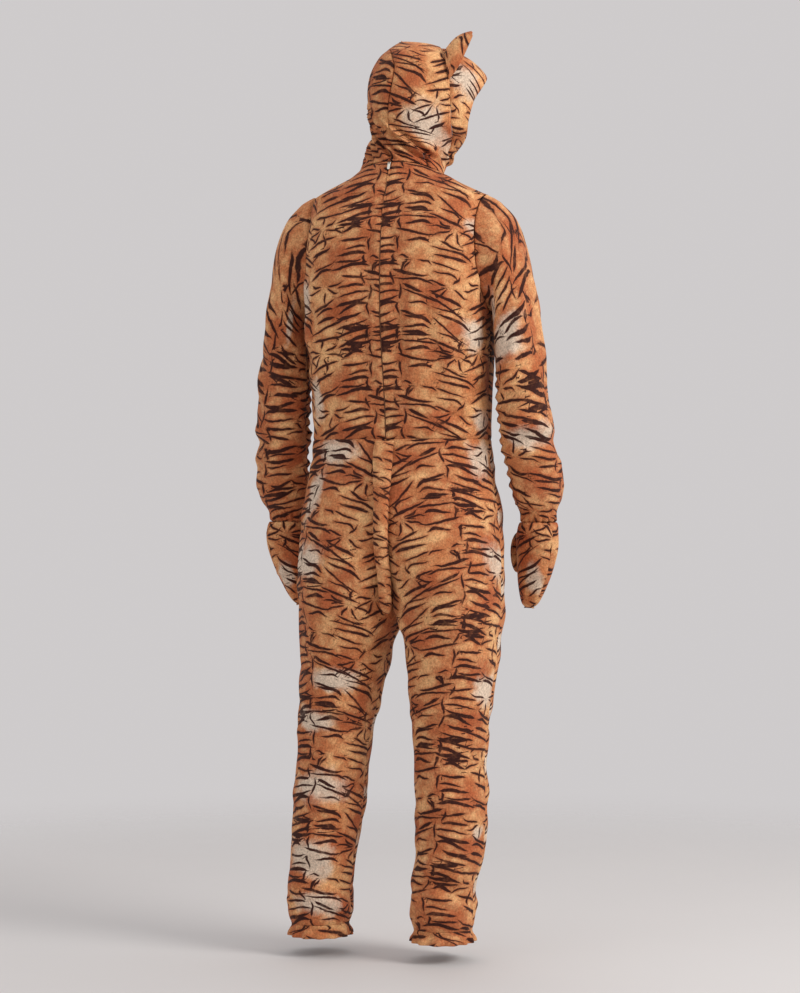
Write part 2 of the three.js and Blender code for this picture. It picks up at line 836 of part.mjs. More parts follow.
// The tail's middle lies far enough back for its round section to clear the seat on both sides.
function tailMiddle(height, halfWidth, halfDepth) {
  let middle = 0;
  const hang = Math.max(height, tailFreeHeight);
  for (let step = 0; step <= 8; step += 1) {
    const x = (halfWidth * step) / 8;
    const rise = halfDepth * Math.sqrt(Math.max(0, 1 - (x / halfWidth) ** 2));
    middle = Math.max(middle, trouserBackAt(hang, x) + rise);
  }
  return middle + tailSeat;
}

function makeTail() {
  const rings = tailTable.rows.map(([height, halfWidth, halfDepth, shift]) => {
    const middle = tailMiddle(height, halfWidth, halfDepth);
    const line = [];
    for (let j = 0; j < tailRound; j += 1) {
      const turn = (-2 * Math.PI * j) / tailRound;
      line.push(
        new THREE.Vector3(shift + halfWidth * Math.cos(turn), middle + halfDepth * Math.sin(turn), height),
      );
    }
    return line;
  });
  addPiece('tail', ringSolid(rings), plushMaterial(0.92));
}

// Hood

// Turns a point of the head (forward, towards its right, rise) into the suit's frame.
function headPoint(forward, right, rise) {
  const share = smoothStep((rise - hoodRises[0]) / (twistTop - hoodRises[0]));
  const yaw = hoodYaw * share;
  const sin = Math.sin(yaw);
  const cos = Math.cos(yaw);
  const x = hoodCentre.x * share - forward * sin - right * cos;
  const y = hoodCentre.y * share - forward * cos + right * sin;
  return new THREE.Vector3(x, y, hoodCentre.height + rise);
}

function neckPoint(angle) {
  const point = bodicePoint({ height: shoulderTipHeight, slope: 1 }, -angle);
  point.z += joinGap;
  return point;
}

function blendNeck(point, angle, rise) {
  const share = smoothStep((rise - hoodRises[0]) / neckBlend);
  return neckPoint(angle).lerp(point, share);
}

// Rope-like folds round the neck, slanting as the turned head pulls them.
function addNeckFolds(grid, wrap, coreOf) {
  const { normals } = gridNormals(grid, wrap, coreOf);
  grid.forEach((line, i) =>
    line.forEach((point, j) => {
      const rise = point.z - hoodCentre.height;
      const rising = smoothStep((rise - neckFolds.low) / neckFolds.lowFade);
      const fading = smoothStep((neckFolds.high - rise) / neckFolds.highFade);
      const around = Math.atan2(-point.x, point.y);
      const wave = Math.cos((rise + around * neckFolds.lean) / neckFolds.pitch);
      point.addScaledVector(normals[i][j], neckFolds.proud * rising * fading * wave);
    }),
  );
}

function sideStation(size, share) {
  const bend = 0.62;
  const start = THREE.MathUtils.degToRad(size.backPanelAngle);
  if (share < bend) {
    const turn = start + ((Math.PI / 2 - start) * share) / bend;
    return { forward: -size.back * Math.cos(turn), right: size.halfWidth * Math.sin(turn) };
  }
  const forward = (size.seamForward * (share - bend)) / (1 - bend);
  const right = size.halfWidth * (1 - (forward / size.front) ** 4) ** 0.25;
  return { forward, right };
}

function sunkRise(rise, forward) {
  const crown = hoodTable.rows[hoodTable.rows.length - 1];
  const share = Math.max(0, rise / crown[0]) ** 2;
  return rise - crownSink * share * (Math.max(0, forward) / crown[4]) ** 2;
}

const neckBackAngle = THREE.MathUtils.degToRad(58);
const neckSeamAngle = THREE.MathUtils.degToRad(118);
const neckFaceAngle = THREE.MathUtils.degToRad(171);
const sideColumns = 8;
const frontColumns = 5;

// The side panel's columns, from one before its back edge to its front seam.
function hoodSideGrid(side) {
  return hoodRises.map((rise) => {
    const size = readTable(hoodTable, rise);
    const line = [];
    for (let j = -1; j <= sideColumns; j += 1) {
      const share = j / sideColumns;
      const station = sideStation(size, share);
      const head = headPoint(station.forward, side * station.right, sunkRise(rise, station.forward));
      const angle = side * THREE.MathUtils.lerp(neckBackAngle, neckSeamAngle, share);
      line.push(blendNeck(head, angle, rise));
    }
    return line;
  });
}

function hoodCore(i) {
  const rise = Math.min(40, hoodRises[Math.min(i, hoodRises.length - 1)]);
  return headPoint(10, 0, rise);
}

const headRight = headPoint(0, 1, 0).sub(headPoint(0, 0, 0));

function levelNormal(normal) {
  normal.addScaledVector(headRight, -normal.dot(headRight)).normalize();
}

function makeHoodSides() {
  const last = hoodRises.length - 1;
  for (const side of [1, -1]) {
    const front = hoodFrontLines();
    const grid = hoodSideGrid(side);
    grid.forEach((line, i) => line.push(front[last + side * (last - i)][2].clone()));
    addNeckFolds(grid, false, hoodCore);
    const half = seamGap / 2;
    const place = (outer) => {
      outer[last].forEach((point) => point.addScaledVector(headRight, side * half));
    };
    const evenEdge = (normals) => {
      normals[last].forEach(levelNormal);
      normals.slice(backPanelTopRow + 1).forEach((line) => levelNormal(line[0]));
    };
    const trim = { left: half, right: half, bottom: half };
    const name = side > 0 ? 'hood_side_right' : 'hood_side_left';
    const wall = clothWall(grid, { coreOf: hoodCore, neighbours: true, trim, place, evenEdge });
    addPiece(name, wall, plushMaterial(0.95));
  }
}

function makeHoodBack() {
  const columns = 8;
  const grid = hoodRises.slice(0, backPanelTopRow + 1).map((rise) => {
    const size = readTable(hoodTable, rise);
    const reach = THREE.MathUtils.degToRad(size.backPanelAngle);
    const line = [];
    for (let j = -columns / 2 - 1; j <= columns / 2 + 1; j += 1) {
      const share = (2 * j) / columns;
      const forward = -size.back * Math.cos(reach * share);
      const head = headPoint(forward, size.halfWidth * Math.sin(reach * share), rise);
      line.push(blendNeck(head, neckBackAngle * share, rise));
    }
    return line;
  });
  addNeckFolds(grid, false, hoodCore);
  const half = seamGap / 2;
  const trim = { left: 6 * half, right: 6 * half, bottom: half };
  const place = (outer) => {
    trimEdges(outer.slice(0, backPanelTopRow), trim);
    trimEdges(outer, { top: 5 });
  };
  const wall = clothWall(grid, { coreOf: hoodCore, neighbours: true, place });
  addPiece('hood_back', wall, plushMaterial(0.93));
}

// Lines of the front panel, from one side of the neck over the crown to the other side. Each starts
// one column behind the side seam.
function hoodFrontLines() {
  const last = hoodRises.length - 1;
  const sides = { 1: hoodSideGrid(1), '-1': hoodSideGrid(-1) };
  const lines = [];
  for (let k = -last; k <= last; k += 1) {
    const i = last - Math.abs(k);
    const side = k < 0 ? -1 : 1;
    const sideLine = sides[side][i];
    const seam = sideLine[sideLine.length - 1];
    const edge = readTable(faceEdgeTable, faceShare(i));
    const head = headPoint(edge.forward, side * edge.half, edge.rise);
    const target = i === 0 ? neckPoint(side * neckFaceAngle) : head;
    const out = target.clone().add(seam).multiplyScalar(0.5).sub(headPoint(20, 0, edge.rise * 0.5));
    out.normalize();
    const full = frontSwell.neck + frontSwell.brim * smoothStep((i - frontSwell.startRow) / frontSwell.rows);
    const swell = i === 0 ? 0 : full;
    const line = [sideLine[sideLine.length - 2].clone()];
    for (let j = 0; j <= frontColumns; j += 1) {
      const share = j / frontColumns;
      const point = seam.clone().lerp(target, share);
      line.push(point.addScaledVector(out, swell * 4 * share * (1 - share)));
    }
    lines.push(line);
  }
  return lines;
}

function makeHoodFront() {
  const last = hoodRises.length - 1;
  const lines = hoodFrontLines();
  lines.forEach((line) => line.push(line[frontColumns + 1].clone().lerp(line[frontColumns], -1)));
  const core = (k) => headPoint(40, 0, Math.min(20, hoodRises[last - Math.abs(k - last)]));
  addNeckFolds(lines, false, core);
  const trim = { left: 1.6 * seamGap };
  addPiece('hood_front', clothWall(lines, { coreOf: core, neighbours: true, trim }), plushMaterial(1.04));
}

// How far up the face edge the front panel's line from a row of the side seam ends.
function faceShare(i) {
  return (i / (hoodRises.length - 1)) ** 0.9;
}

// Ears

function makeEar(side, name, lift, widthScale) {
  const lower = headPoint(46, side * 89, 24);
  const upper = headPoint(49, side * 60, 84);
  const tip = headPoint(90, side * 102, 113);
  const baseMiddle = lower.clone().lerp(upper, 0.5);
  const up = tip.clone().sub(baseMiddle);
  const length = up.length();
  up.normalize();
  const across = upper.clone().sub(lower).normalize();
  const forward = across.clone().cross(up).multiplyScalar(side).normalize();
  const rows = 5;
  const outward = headPoint(0, side * 0.72, 0.7).sub(headPoint(0, 0, 0)).normalize();
  const grid = [];
  for (let i = 0; i <= rows; i += 1) {
    const share = i / rows;
    const size = readTable(earTable, share);
    const line = [];
    for (let j = 0; j <= earColumns; j += 1) {
      const place = (2 * j) / earColumns - 1;
      const point = baseMiddle.clone().addScaledVector(up, length * share);
      point.addScaledVector(outward, (earSeat + earCrown * (1 - place * place)) * (1 - share));
      point.addScaledVector(across, place * size.halfWidth * widthScale);
      point.addScaledVector(forward, lift - size.cup * (1 - place * place));
      line.push(point);
    }
    grid.push(line);
  }
  const coreOf = (i) => meanPoint(grid[i]).addScaledVector(forward, 20);
  addPiece(name, clothWall(grid, { coreOf, thickness: 1.8 }), plushMaterial(1.02));
}

function makeHood() {
  makeHoodBack();
  makeHoodSides();
  makeHoodFront();
  for (const side of [1, -1]) {
    const ear = side > 0 ? 'right' : 'left';
    makeEar(side, `ear_outer_${ear}`, 0, 1);
    makeEar(side, `ear_inner_${ear}`, 2.7, 0.88);
  }
}

// Zip

// The line of the centre back, with the direction away from the cloth at each of its points.
function backLine() {
  const points = bodiceRows().map((row) => bodicePoint(row, 0));
  return points.map((point, i) => {
    const before = points[Math.max(0, i - 1)];
    const after = points[Math.min(points.length - 1, i + 1)];
    const along = after.clone().sub(before).normalize();
    const out = new THREE.Vector3(1, 0, 0).cross(along).normalize();
    out.multiplyScalar(out.y < 0 ? -1 : 1);
    return { point, along, out };
  });
}

// The tape lies behind the cloth, and its coil fills the gap between the two back edges.
const tapeHalfWidth = 12;
const tapeTop = -3.4;
const tapeUnder = -4.2;
const coilHalfWidth = 1;
const coilTop = -0.6;

function makeZipTape() {
  const outline = [
    [-tapeHalfWidth, tapeTop],
    [-coilHalfWidth, tapeTop],
    [-coilHalfWidth, coilTop],
    [coilHalfWidth, coilTop],
    [coilHalfWidth, tapeTop],
    [tapeHalfWidth, tapeTop],
    [tapeHalfWidth, tapeUnder],
    [-tapeHalfWidth, tapeUnder],
  ];
  const stations = backLine();
  const last = stations.length - 1;
  stations[0].point.z += joinGap;
  stations[last].point.addScaledVector(stations[last].along, -joinGap);
  const rings = stations.map(({ point, out }) =>
    outline.map(([x, rise]) => {
      const p = point.clone().addScaledVector(out, rise);
      return new THREE.Vector3(x, p.y, p.z);
    }),
  );
  const middleOf = (ring) => ring[6].clone().add(ring[7]).add(ring[1]).add(ring[4]).divideScalar(4);
  addPiece('zip_tape', ringSolid(rings, middleOf), zipMaterial());
}

// The slider's place: on the slope of the upper back, a little under the neck seam.
const sliderShare = 0.5;
const sliderHalfLength = 5;
const sliderHalfWidth = 3.6;
const sliderHeight = 2.2;
const crownHalfWidth = 0.9;
const crownHeight = 3.2;
const pullRise = 4.8;
const pullLength = 15;
const pullHalfWidth = 2.6;
const pullThickness = 1.2;

function sliderFrame() {
  const low = bodicePoint({ height: shoulderTipHeight, slope: 1 - 1 / shoulderRows }, 0);
  const high = bodicePoint({ height: shoulderTipHeight, slope: 1 }, 0);
  const along = high.clone().sub(low).normalize();
  const out = new THREE.Vector3(0, along.z, -along.y);
  const point = low.clone().lerp(high, sliderShare);
  return { point, along, out };
}

// Extrudes an outline drawn in the plane of length and rise, evenly to both sides of the centre line.
function sideBlock(frame, outline, halfWidth) {
  const shape = new THREE.Shape(outline.map(([length, rise]) => new THREE.Vector2(length, rise)));
  const block = new THREE.ExtrudeGeometry(shape, { depth: 2 * halfWidth, bevelEnabled: false, steps: 1 });
  block.translate(0, 0, -halfWidth);
  const sideways = frame.along.clone().cross(frame.out);
  const matrix = new THREE.Matrix4().makeBasis(frame.along, frame.out, sideways);
  matrix.setPosition(frame.point);
  block.applyMatrix4(matrix);
  return block;
}

function makeSlider() {
  const frame = sliderFrame();
  const half = sliderHalfLength;
  const floor = 0.5;
  const roof = floor + sliderHeight;
  const outline = [
    [-half, floor], [half, floor], [half, roof - 0.6], [half - 1, roof], [-half + 1, roof], [-half, roof - 0.6],
  ];
  addPiece('zip_slider', sideBlock(frame, outline, sliderHalfWidth), zipMaterial());
  const crown = [[-1.8, roof + 0.3], [1.8, roof + 0.3], [1.4, roof + crownHeight], [-1.4, roof + crownHeight]];
  addPiece('zip_crown', sideBlock(frame, crown, crownHalfWidth), zipMaterial());
}

// A flat tab with a fork at its top that straddles the slider's crown.
function makePull() {
  const frame = sliderFrame();
  const shape = new THREE.Shape();
  const fork = crownHalfWidth + 0.3;
  const w = pullHalfWidth;
  shape.moveTo(1.6, -w);
  shape.lineTo(1.6, -fork);
  shape.lineTo(-2.4, -fork);
  shape.lineTo(-2.4, fork);
  shape.lineTo(1.6, fork);
  shape.lineTo(1.6, w);
  shape.lineTo(-pullLength + w, w);
  shape.absarc(-pullLength + w, 0, w, Math.PI / 2, (3 * Math.PI) / 2, false);
  const tab = new THREE.ExtrudeGeometry(shape, { depth: pullThickness, bevelEnabled: false, curveSegments: 8 });
  const sideways = frame.out.clone().cross(frame.along);
  const matrix = new THREE.Matrix4().makeBasis(frame.along, sideways, frame.out.clone());
  if (matrix.determinant() < 0) {
    matrix.makeBasis(frame.along, sideways.negate(), frame.out.clone());
  }
  matrix.setPosition(frame.point.clone().addScaledVector(frame.out, pullRise - pullThickness / 2));
  tab.applyMatrix4(matrix);
  addPiece('zip_pull', tab, pullMaterial());
}

makeBodice();
makeSleeves();
makeMittens();
makeLegs();
makeTail();
makeHood();
makeZipTape();
makeSlider();
makePull();

export default suit;
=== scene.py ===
import json
import bmesh
import bpy
import numpy as np
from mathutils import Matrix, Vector

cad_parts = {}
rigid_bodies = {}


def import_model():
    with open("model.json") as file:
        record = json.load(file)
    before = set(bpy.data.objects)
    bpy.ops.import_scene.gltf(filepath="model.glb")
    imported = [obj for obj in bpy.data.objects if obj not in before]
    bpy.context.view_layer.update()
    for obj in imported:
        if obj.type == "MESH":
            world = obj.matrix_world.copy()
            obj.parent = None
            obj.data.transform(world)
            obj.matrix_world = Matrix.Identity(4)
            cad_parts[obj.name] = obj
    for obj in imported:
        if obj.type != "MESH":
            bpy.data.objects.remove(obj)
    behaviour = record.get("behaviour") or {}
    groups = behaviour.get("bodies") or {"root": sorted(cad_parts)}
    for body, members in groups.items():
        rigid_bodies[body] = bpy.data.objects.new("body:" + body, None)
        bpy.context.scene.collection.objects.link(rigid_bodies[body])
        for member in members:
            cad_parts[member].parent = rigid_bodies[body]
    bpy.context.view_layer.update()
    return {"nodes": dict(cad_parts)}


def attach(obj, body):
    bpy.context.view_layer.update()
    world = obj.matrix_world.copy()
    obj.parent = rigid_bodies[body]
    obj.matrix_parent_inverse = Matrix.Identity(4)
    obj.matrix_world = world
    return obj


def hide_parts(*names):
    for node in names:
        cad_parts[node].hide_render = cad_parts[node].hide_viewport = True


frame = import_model()
print("frame loaded:", len(frame["nodes"]), "nodes")

shoulderHeight = 1500  # mm; the heights below are above the floor, the origin lies between the shoulders
hands = ((1, "left"), (-1, "right"))  # the suit's own left lies on the side of +x


def linear(red, green, blue):
    # a colour picked as 0 to 255, turned to the linear values that Blender's sockets take
    share = np.array([red, green, blue]) / 255
    return (*np.where(share <= 0.04045, share / 12.92, ((share + 0.055) / 1.055) ** 2.4).tolist(), 1)


# camera and studio
camera = {"azimuth": 198, "distance": 5.0, "height": 0.93, "aside": -0.004, "lens": 89.7, "sensor": 36}
studio = {
    "wall": 0.62, "wallTint": (1.0, 0.965, 0.97, 1), "aim": -0.5, "floor": (214, 212, 211),
    "lights": {  # aside, towards the camera, up, size, power, colour
        "key_light": [2.85, 1.9, 1.3, 1.8, 97, (1, 0.97, 0.94)],
        "fill_light": [-2.8, 1.8, 0.2, 2.2, 6, (0.95, 0.97, 1)],
        "top_light": [0, -0.6, 2.4, 2.0, 14, (1, 1, 1)],
    },
}

turn = np.radians(camera["azimuth"])
back = Vector((np.sin(turn), -np.cos(turn), 0))
right = Vector((-back.y, back.x, 0))
middle = right * camera["aside"] + Vector((0, 0, camera["height"] - shoulderHeight / 1000))

eye = bpy.data.cameras.new("camera")
eye.sensor_width, eye.lens = camera["sensor"], camera["lens"]
eyeObject = bpy.data.objects.new("camera", eye)
eyeObject.location = middle + back * camera["distance"]
eyeObject.rotation_euler = (-back).to_track_quat("-Z", "Y").to_euler()
bpy.context.collection.objects.link(eyeObject)
bpy.context.scene.camera = eyeObject
bpy.context.scene.view_settings.view_transform = "Standard"

for name, (aside, ahead, up, size, power, colour) in studio["lights"].items():
    light = bpy.data.lights.new(name, "AREA")
    light.shape, light.size, light.energy, light.color = "DISK", size, power, colour
    lamp = bpy.data.objects.new(name, light)
    lamp.location = right * aside + back * ahead + Vector((0, 0, up))
    lamp.rotation_euler = (Vector((0, 0, studio["aim"])) - lamp.location).to_track_quat("-Z", "Y").to_euler()
    bpy.context.collection.objects.link(lamp)

world = bpy.data.worlds.new("studio")
bpy.context.scene.world = world
world.use_nodes = True
sky = world.node_tree.nodes["Background"]
sky.inputs["Color"].default_value = studio["wallTint"]
sky.inputs["Strength"].default_value = studio["wall"]
print("camera and lights done")


# node helpers
def addNode(tree, kind, inputs=None, **settings):
    node = tree.nodes.new("ShaderNode" + kind)
    for key, value in settings.items():
        setattr(node, key, value)
    for key, value in (inputs or {}).items():
        if isinstance(value, bpy.types.NodeSocket):
            tree.links.new(value, node.inputs[key])
        else:
            node.inputs[key].default_value = value
    return node


def addMath(tree, operation, *values):
    return addNode(tree, "Math", dict(enumerate(values)), operation=operation).outputs[0]


def addRange(tree, value, low, high, start=0.0, end=1.0):
    # runs smoothly from start to end while value goes from low to high
    inputs = {"Value": value, "From Min": low, "From Max": high, "To Min": start, "To Max": end}
    return addNode(tree, "MapRange", inputs, interpolation_type="SMOOTHSTEP").outputs["Result"]


def addNoise(tree, place, scale, detail=2.0, roughness=0.5):
    inputs = {"Vector": place, "Scale": scale, "Detail": detail, "Roughness": roughness}
    return addNode(tree, "TexNoise", inputs).outputs["Fac"]


def addMix(tree, share, first, second, blend="MIX"):
    inputs = {0: share, 6: first, 7: second}  # the mix node's factor and its two colours
    return addNode(tree, "Mix", inputs, data_type="RGBA", blend_type=blend).outputs[2]


def startMaterial(name, finish):
    material = bpy.data.materials.new(name)
    material.use_nodes = True
    tree = material.node_tree
    shader = tree.nodes["Principled BSDF"]
    for socket, value in finish.items():
        shader.inputs[socket].default_value = value
    return material, tree, shader, addNode(tree, "TexCoord").outputs["Object"]


def darker(colour, share):
    return tuple(share * part for part in colour[:3]) + (1,)


# floor: a pale disc that fades into the studio wall
floorLook = {
    "radius": 3.4, "sides": 96, "fadeStart": 1.3, "fadeEnd": 2.9,  # metres
    "grainScale": 3.0, "grainShade": 0.97,
}


def makeFloor():
    around = np.linspace(0, 2 * np.pi, floorLook["sides"] + 1)[:-1]
    level = shoulderHeight / 1000
    rim = np.stack([np.cos(around), np.sin(around), 0 * around], -1) * floorLook["radius"]
    rim[:, 2] = -level
    mesh = bpy.data.meshes.new("floor")
    mesh.from_pydata(rim.tolist(), [], [list(range(floorLook["sides"]))])
    floor = bpy.data.objects.new("floor", mesh)
    bpy.context.collection.objects.link(floor)
    material, tree, shader, place = startMaterial("studio_floor", {"Roughness": 0.7})
    grain = addNoise(tree, place, floorLook["grainScale"], 3.0)
    colour = linear(*studio["floor"])
    mixed = addMix(tree, grain, darker(colour, floorLook["grainShade"]), colour)
    tree.links.new(mixed, shader.inputs["Base Color"])
    # the disc lies level below the origin, so the distance across it is sqrt(distance^2 - level^2)
    distance = addNode(tree, "VectorMath", {0: place}, operation="LENGTH").outputs["Value"]
    flat = addMath(tree, "SQRT", addMath(tree, "MULTIPLY_ADD", distance, distance, -level * level))
    fade = addRange(tree, flat, floorLook["fadeStart"], floorLook["fadeEnd"], 1.0, 0.0)
    tree.links.new(fade, shader.inputs["Alpha"])
    mesh.materials.append(material)


makeFloor()

# the print's repeat, in mm: x across the cloth, y up it; the spine column stands at x = 0
printRepeat = {
    "width": 276, "height": 248, "pitch": 15.5, "seed": 11, "jitter": 3.4, "swing": 7.0, "clear": 19,
    "lengths": (0.52, 1.18), "widths": (3.7, 7.0), "sway": 8, "bow": 4.5, "bowMean": 1.5,
    "columns": [[-104, 84, 20], [-38, 78, 9], [34, 74, -11], [101, 86, -24]],  # x, stroke length, lean
    "knots": [  # x, y, turns of the strokes that run out from it, their lengths
        [112, 176, [172, 150, 196, -28, -70, 64, 232], [44, 30, 40, 34, 26, 20, 24]],
        [-106, 186, [205, 226, 180, -14, 28, -80, 100], [44, 32, 34, 40, 26, 30, 16]],
        [104, 62, [166, 188, -30, 212, 50], [40, 34, 36, 26, 20]],
        [-98, 66, [16, 192, -16, 168, -84], [40, 38, 26, 26, 24]],
        [30, 120, [170, -20, 232], [20, 30, 18]],
    ],
    "spine": [  # x, y, lean, length, bend, width: leaf strokes and ticks beside the column
        [-26, 236, 6, 56, -2, 7], [30, 222, -8, 50, 3, 7], [-24, 206, 8, 60, -3, 8],
        [-2, 222, 78, 26, 4, 5], [2, 190, 100, 24, 3, 5], [0, 152, 84, 28, 3, 5], [-10, 122, 96, 18, 2, 5.5],
        [12, 104, 60, 24, 3, 6], [-12, 84, 110, 22, 2, 5], [2, 56, 88, 30, -3, 5], [0, 22, 95, 26, 3, 4.6],
    ],
    "cream": [[132, 148, 44, 15], [-134, 44, 48, 17], [84, 24, 20, 7]],  # x, y, half width, half height
    "rust": [[70, 50, 34, 26], [-64, 120, 30, 30], [76, 186, 36, 24], [-70, 20, 34, 22], [110, 230, 24, 20]],
}
farAway = 1e6  # mm


def offset(value, place, size):
    # the shortest way round a repeat of this size, from place to value
    return (value - place + size / 2) % size - size / 2


def printOffset(x, y, fromX, fromY):
    return offset(x, fromX, printRepeat["width"]), offset(y, fromY, printRepeat["height"])


def alongBeside(x, y, lean):
    # the same step measured along and beside a line that leans by so many degrees
    c, s = np.cos(np.radians(lean)), np.sin(np.radians(lean))
    return x * c + y * s, y * c - x * s


def fan(x, y, turns, lengths, start=9, width=4.4, bend=3):
    # strokes that run out from one knot, each from start to start + length; the short ones are the widest
    turns, lengths = np.array(turns, float), np.array(lengths, float)
    reach = start + lengths / 2
    place = np.radians(turns)
    bends = bend * np.where(np.arange(len(turns)) % 2, 1, -1)
    wide = width * (1.3 - 0.4 * lengths / lengths.max())
    return np.stack([x + reach * np.cos(place), y + reach * np.sin(place), turns, lengths, bends, wide], -1)


def chartStrokes():
    # columns of long strokes that lean down and outwards from the spine, cleared round each knot
    chance = np.random.RandomState(printRepeat["seed"])
    count = int(round(printRepeat["height"] / printRepeat["pitch"]))
    rows = []
    for order, (x, length, lean) in enumerate(printRepeat["columns"]):
        y = printRepeat["pitch"] * (np.arange(count) + 0.5 * (order % 2))
        sway = np.sin(2 * np.pi * y / printRepeat["height"] + 1.7 * order)
        leans = lean + printRepeat["sway"] * sway + chance.uniform(-1, 1, count) * printRepeat["swing"]
        lengths = length * chance.uniform(*printRepeat["lengths"], count)
        across = x + chance.uniform(-1, 1, count) * 3 * printRepeat["jitter"]
        bends = printRepeat["bow"] * np.sin(3 * y + order) + printRepeat["bowMean"]
        widths = chance.uniform(*printRepeat["widths"], count)
        y = y + chance.uniform(-1, 1, count) * printRepeat["jitter"]
        rows.append(np.stack([across, y, leans, lengths, bends, widths], -1))
    rows = np.concatenate(rows)
    for x, y, turns, lengths in printRepeat["knots"]:
        far = np.hypot(*printOffset(rows[:, 0], rows[:, 1], x, y))
        rows = rows[far > printRepeat["clear"]]
    fans = [fan(*knot) for knot in printRepeat["knots"]]
    return np.concatenate([rows, np.array(printRepeat["spine"], float)] + fans)


def layStrokes(rows, layers=("strokesFirst", "strokesSecond", "strokesThird")):
    # strokes that come near one another go to different layers, so that they can cross cleanly
    share = np.linspace(-0.5, 0.5, 7)
    turn = np.radians(rows[:, 2])
    x = rows[:, 0, None] + share * (rows[:, 3] * np.cos(turn))[:, None]
    y = rows[:, 1, None] + share * (rows[:, 3] * np.sin(turn))[:, None]
    far = np.hypot(*printOffset(x[:, None, :, None], y[:, None, :, None], x[None, :, None], y[None, :, None]))
    gap = far.min(axis=(2, 3)) - (rows[:, None, 5] + rows[None, :, 5]) / 2
    layer = np.full(len(rows), -1)
    for index in range(len(rows)):
        room = [gap[index][layer == k].min(initial=farAway) for k in range(len(layers))]
        layer[index] = int(np.argmax(room))
    return {name: rows[layer == k] for k, name in enumerate(layers)}


strokes = layStrokes(chartStrokes())


def strokeField(x, y, rows):
    # for each point, the signed distance, distance and half width of the nearest stroke; a stroke is
    # an arc that bows out of its chord with a slight S, and whose width falls to nothing at its ends
    nearest = np.full(x.shape, farAway)
    found = np.zeros(x.shape + (3,))
    for px, py, lean, length, bend, width in rows:
        along, across = alongBeside(*printOffset(x, y, px, py), lean)
        share = np.clip(2 * along / length, -1, 1)
        side = across - bend * (1 - share ** 2) - 0.4 * bend * np.sin(np.pi * share)
        far = np.hypot(side, np.maximum(np.abs(along) - length / 2, 0))
        half = 0.5 * width * (1 - share ** 4) ** 0.8 * (1 + 0.3 * share * np.sign(bend))
        closer = far - half < nearest
        nearest = np.where(closer, far - half, nearest)
        found[closer] = np.stack([side, far, half], -1)[closer]
    return found


def spotField(x, y, spots):
    # 1 at the middle of a spot, a half on its edge, towards 0 outside
    value = np.zeros(x.shape)
    for px, py, wide, high in spots:
        dx, dy = printOffset(x, y, px, py)
        value = np.maximum(value, np.exp(-np.log(2) * ((dx / wide) ** 2 + (dy / high) ** 2)))
    return value


def printFields(x, y, cream, rust):
    fields = {layer: strokeField(x, y, rows) for layer, rows in strokes.items()}
    fields["tone"] = np.stack([cream, rust, 0 * cream], -1)
    return fields


# plush
plushLook = {
    "colours": {
        "mid": (192, 120, 75), "light": (228, 176, 122), "rust": (170, 87, 51), "cream": (216, 194, 172),
        "stripe": (56, 24, 17),
    },
    "wobble": 2.2, "edge": 0.8, "reach": 7.0, "halo": 5.0,  # mm
    "noise": {  # scale, detail, roughness
        "wave": (70.0, 2.0, 0.5), "clouds": (22.0, 4.0, 0.6), "drift": (60.0, 3.0, 0.6),
        "tuft": (260.0, 3.0, 0.7), "pile": (900.0, 2.0, 0.6),
    },
    "finish": {
        "Roughness": 0.92, "Specular IOR Level": 0.25, "Sheen Weight": 0.05, "Sheen Roughness": 0.45,
        "Sheen Tint": (1.0, 0.82, 0.66, 1),
    },
}


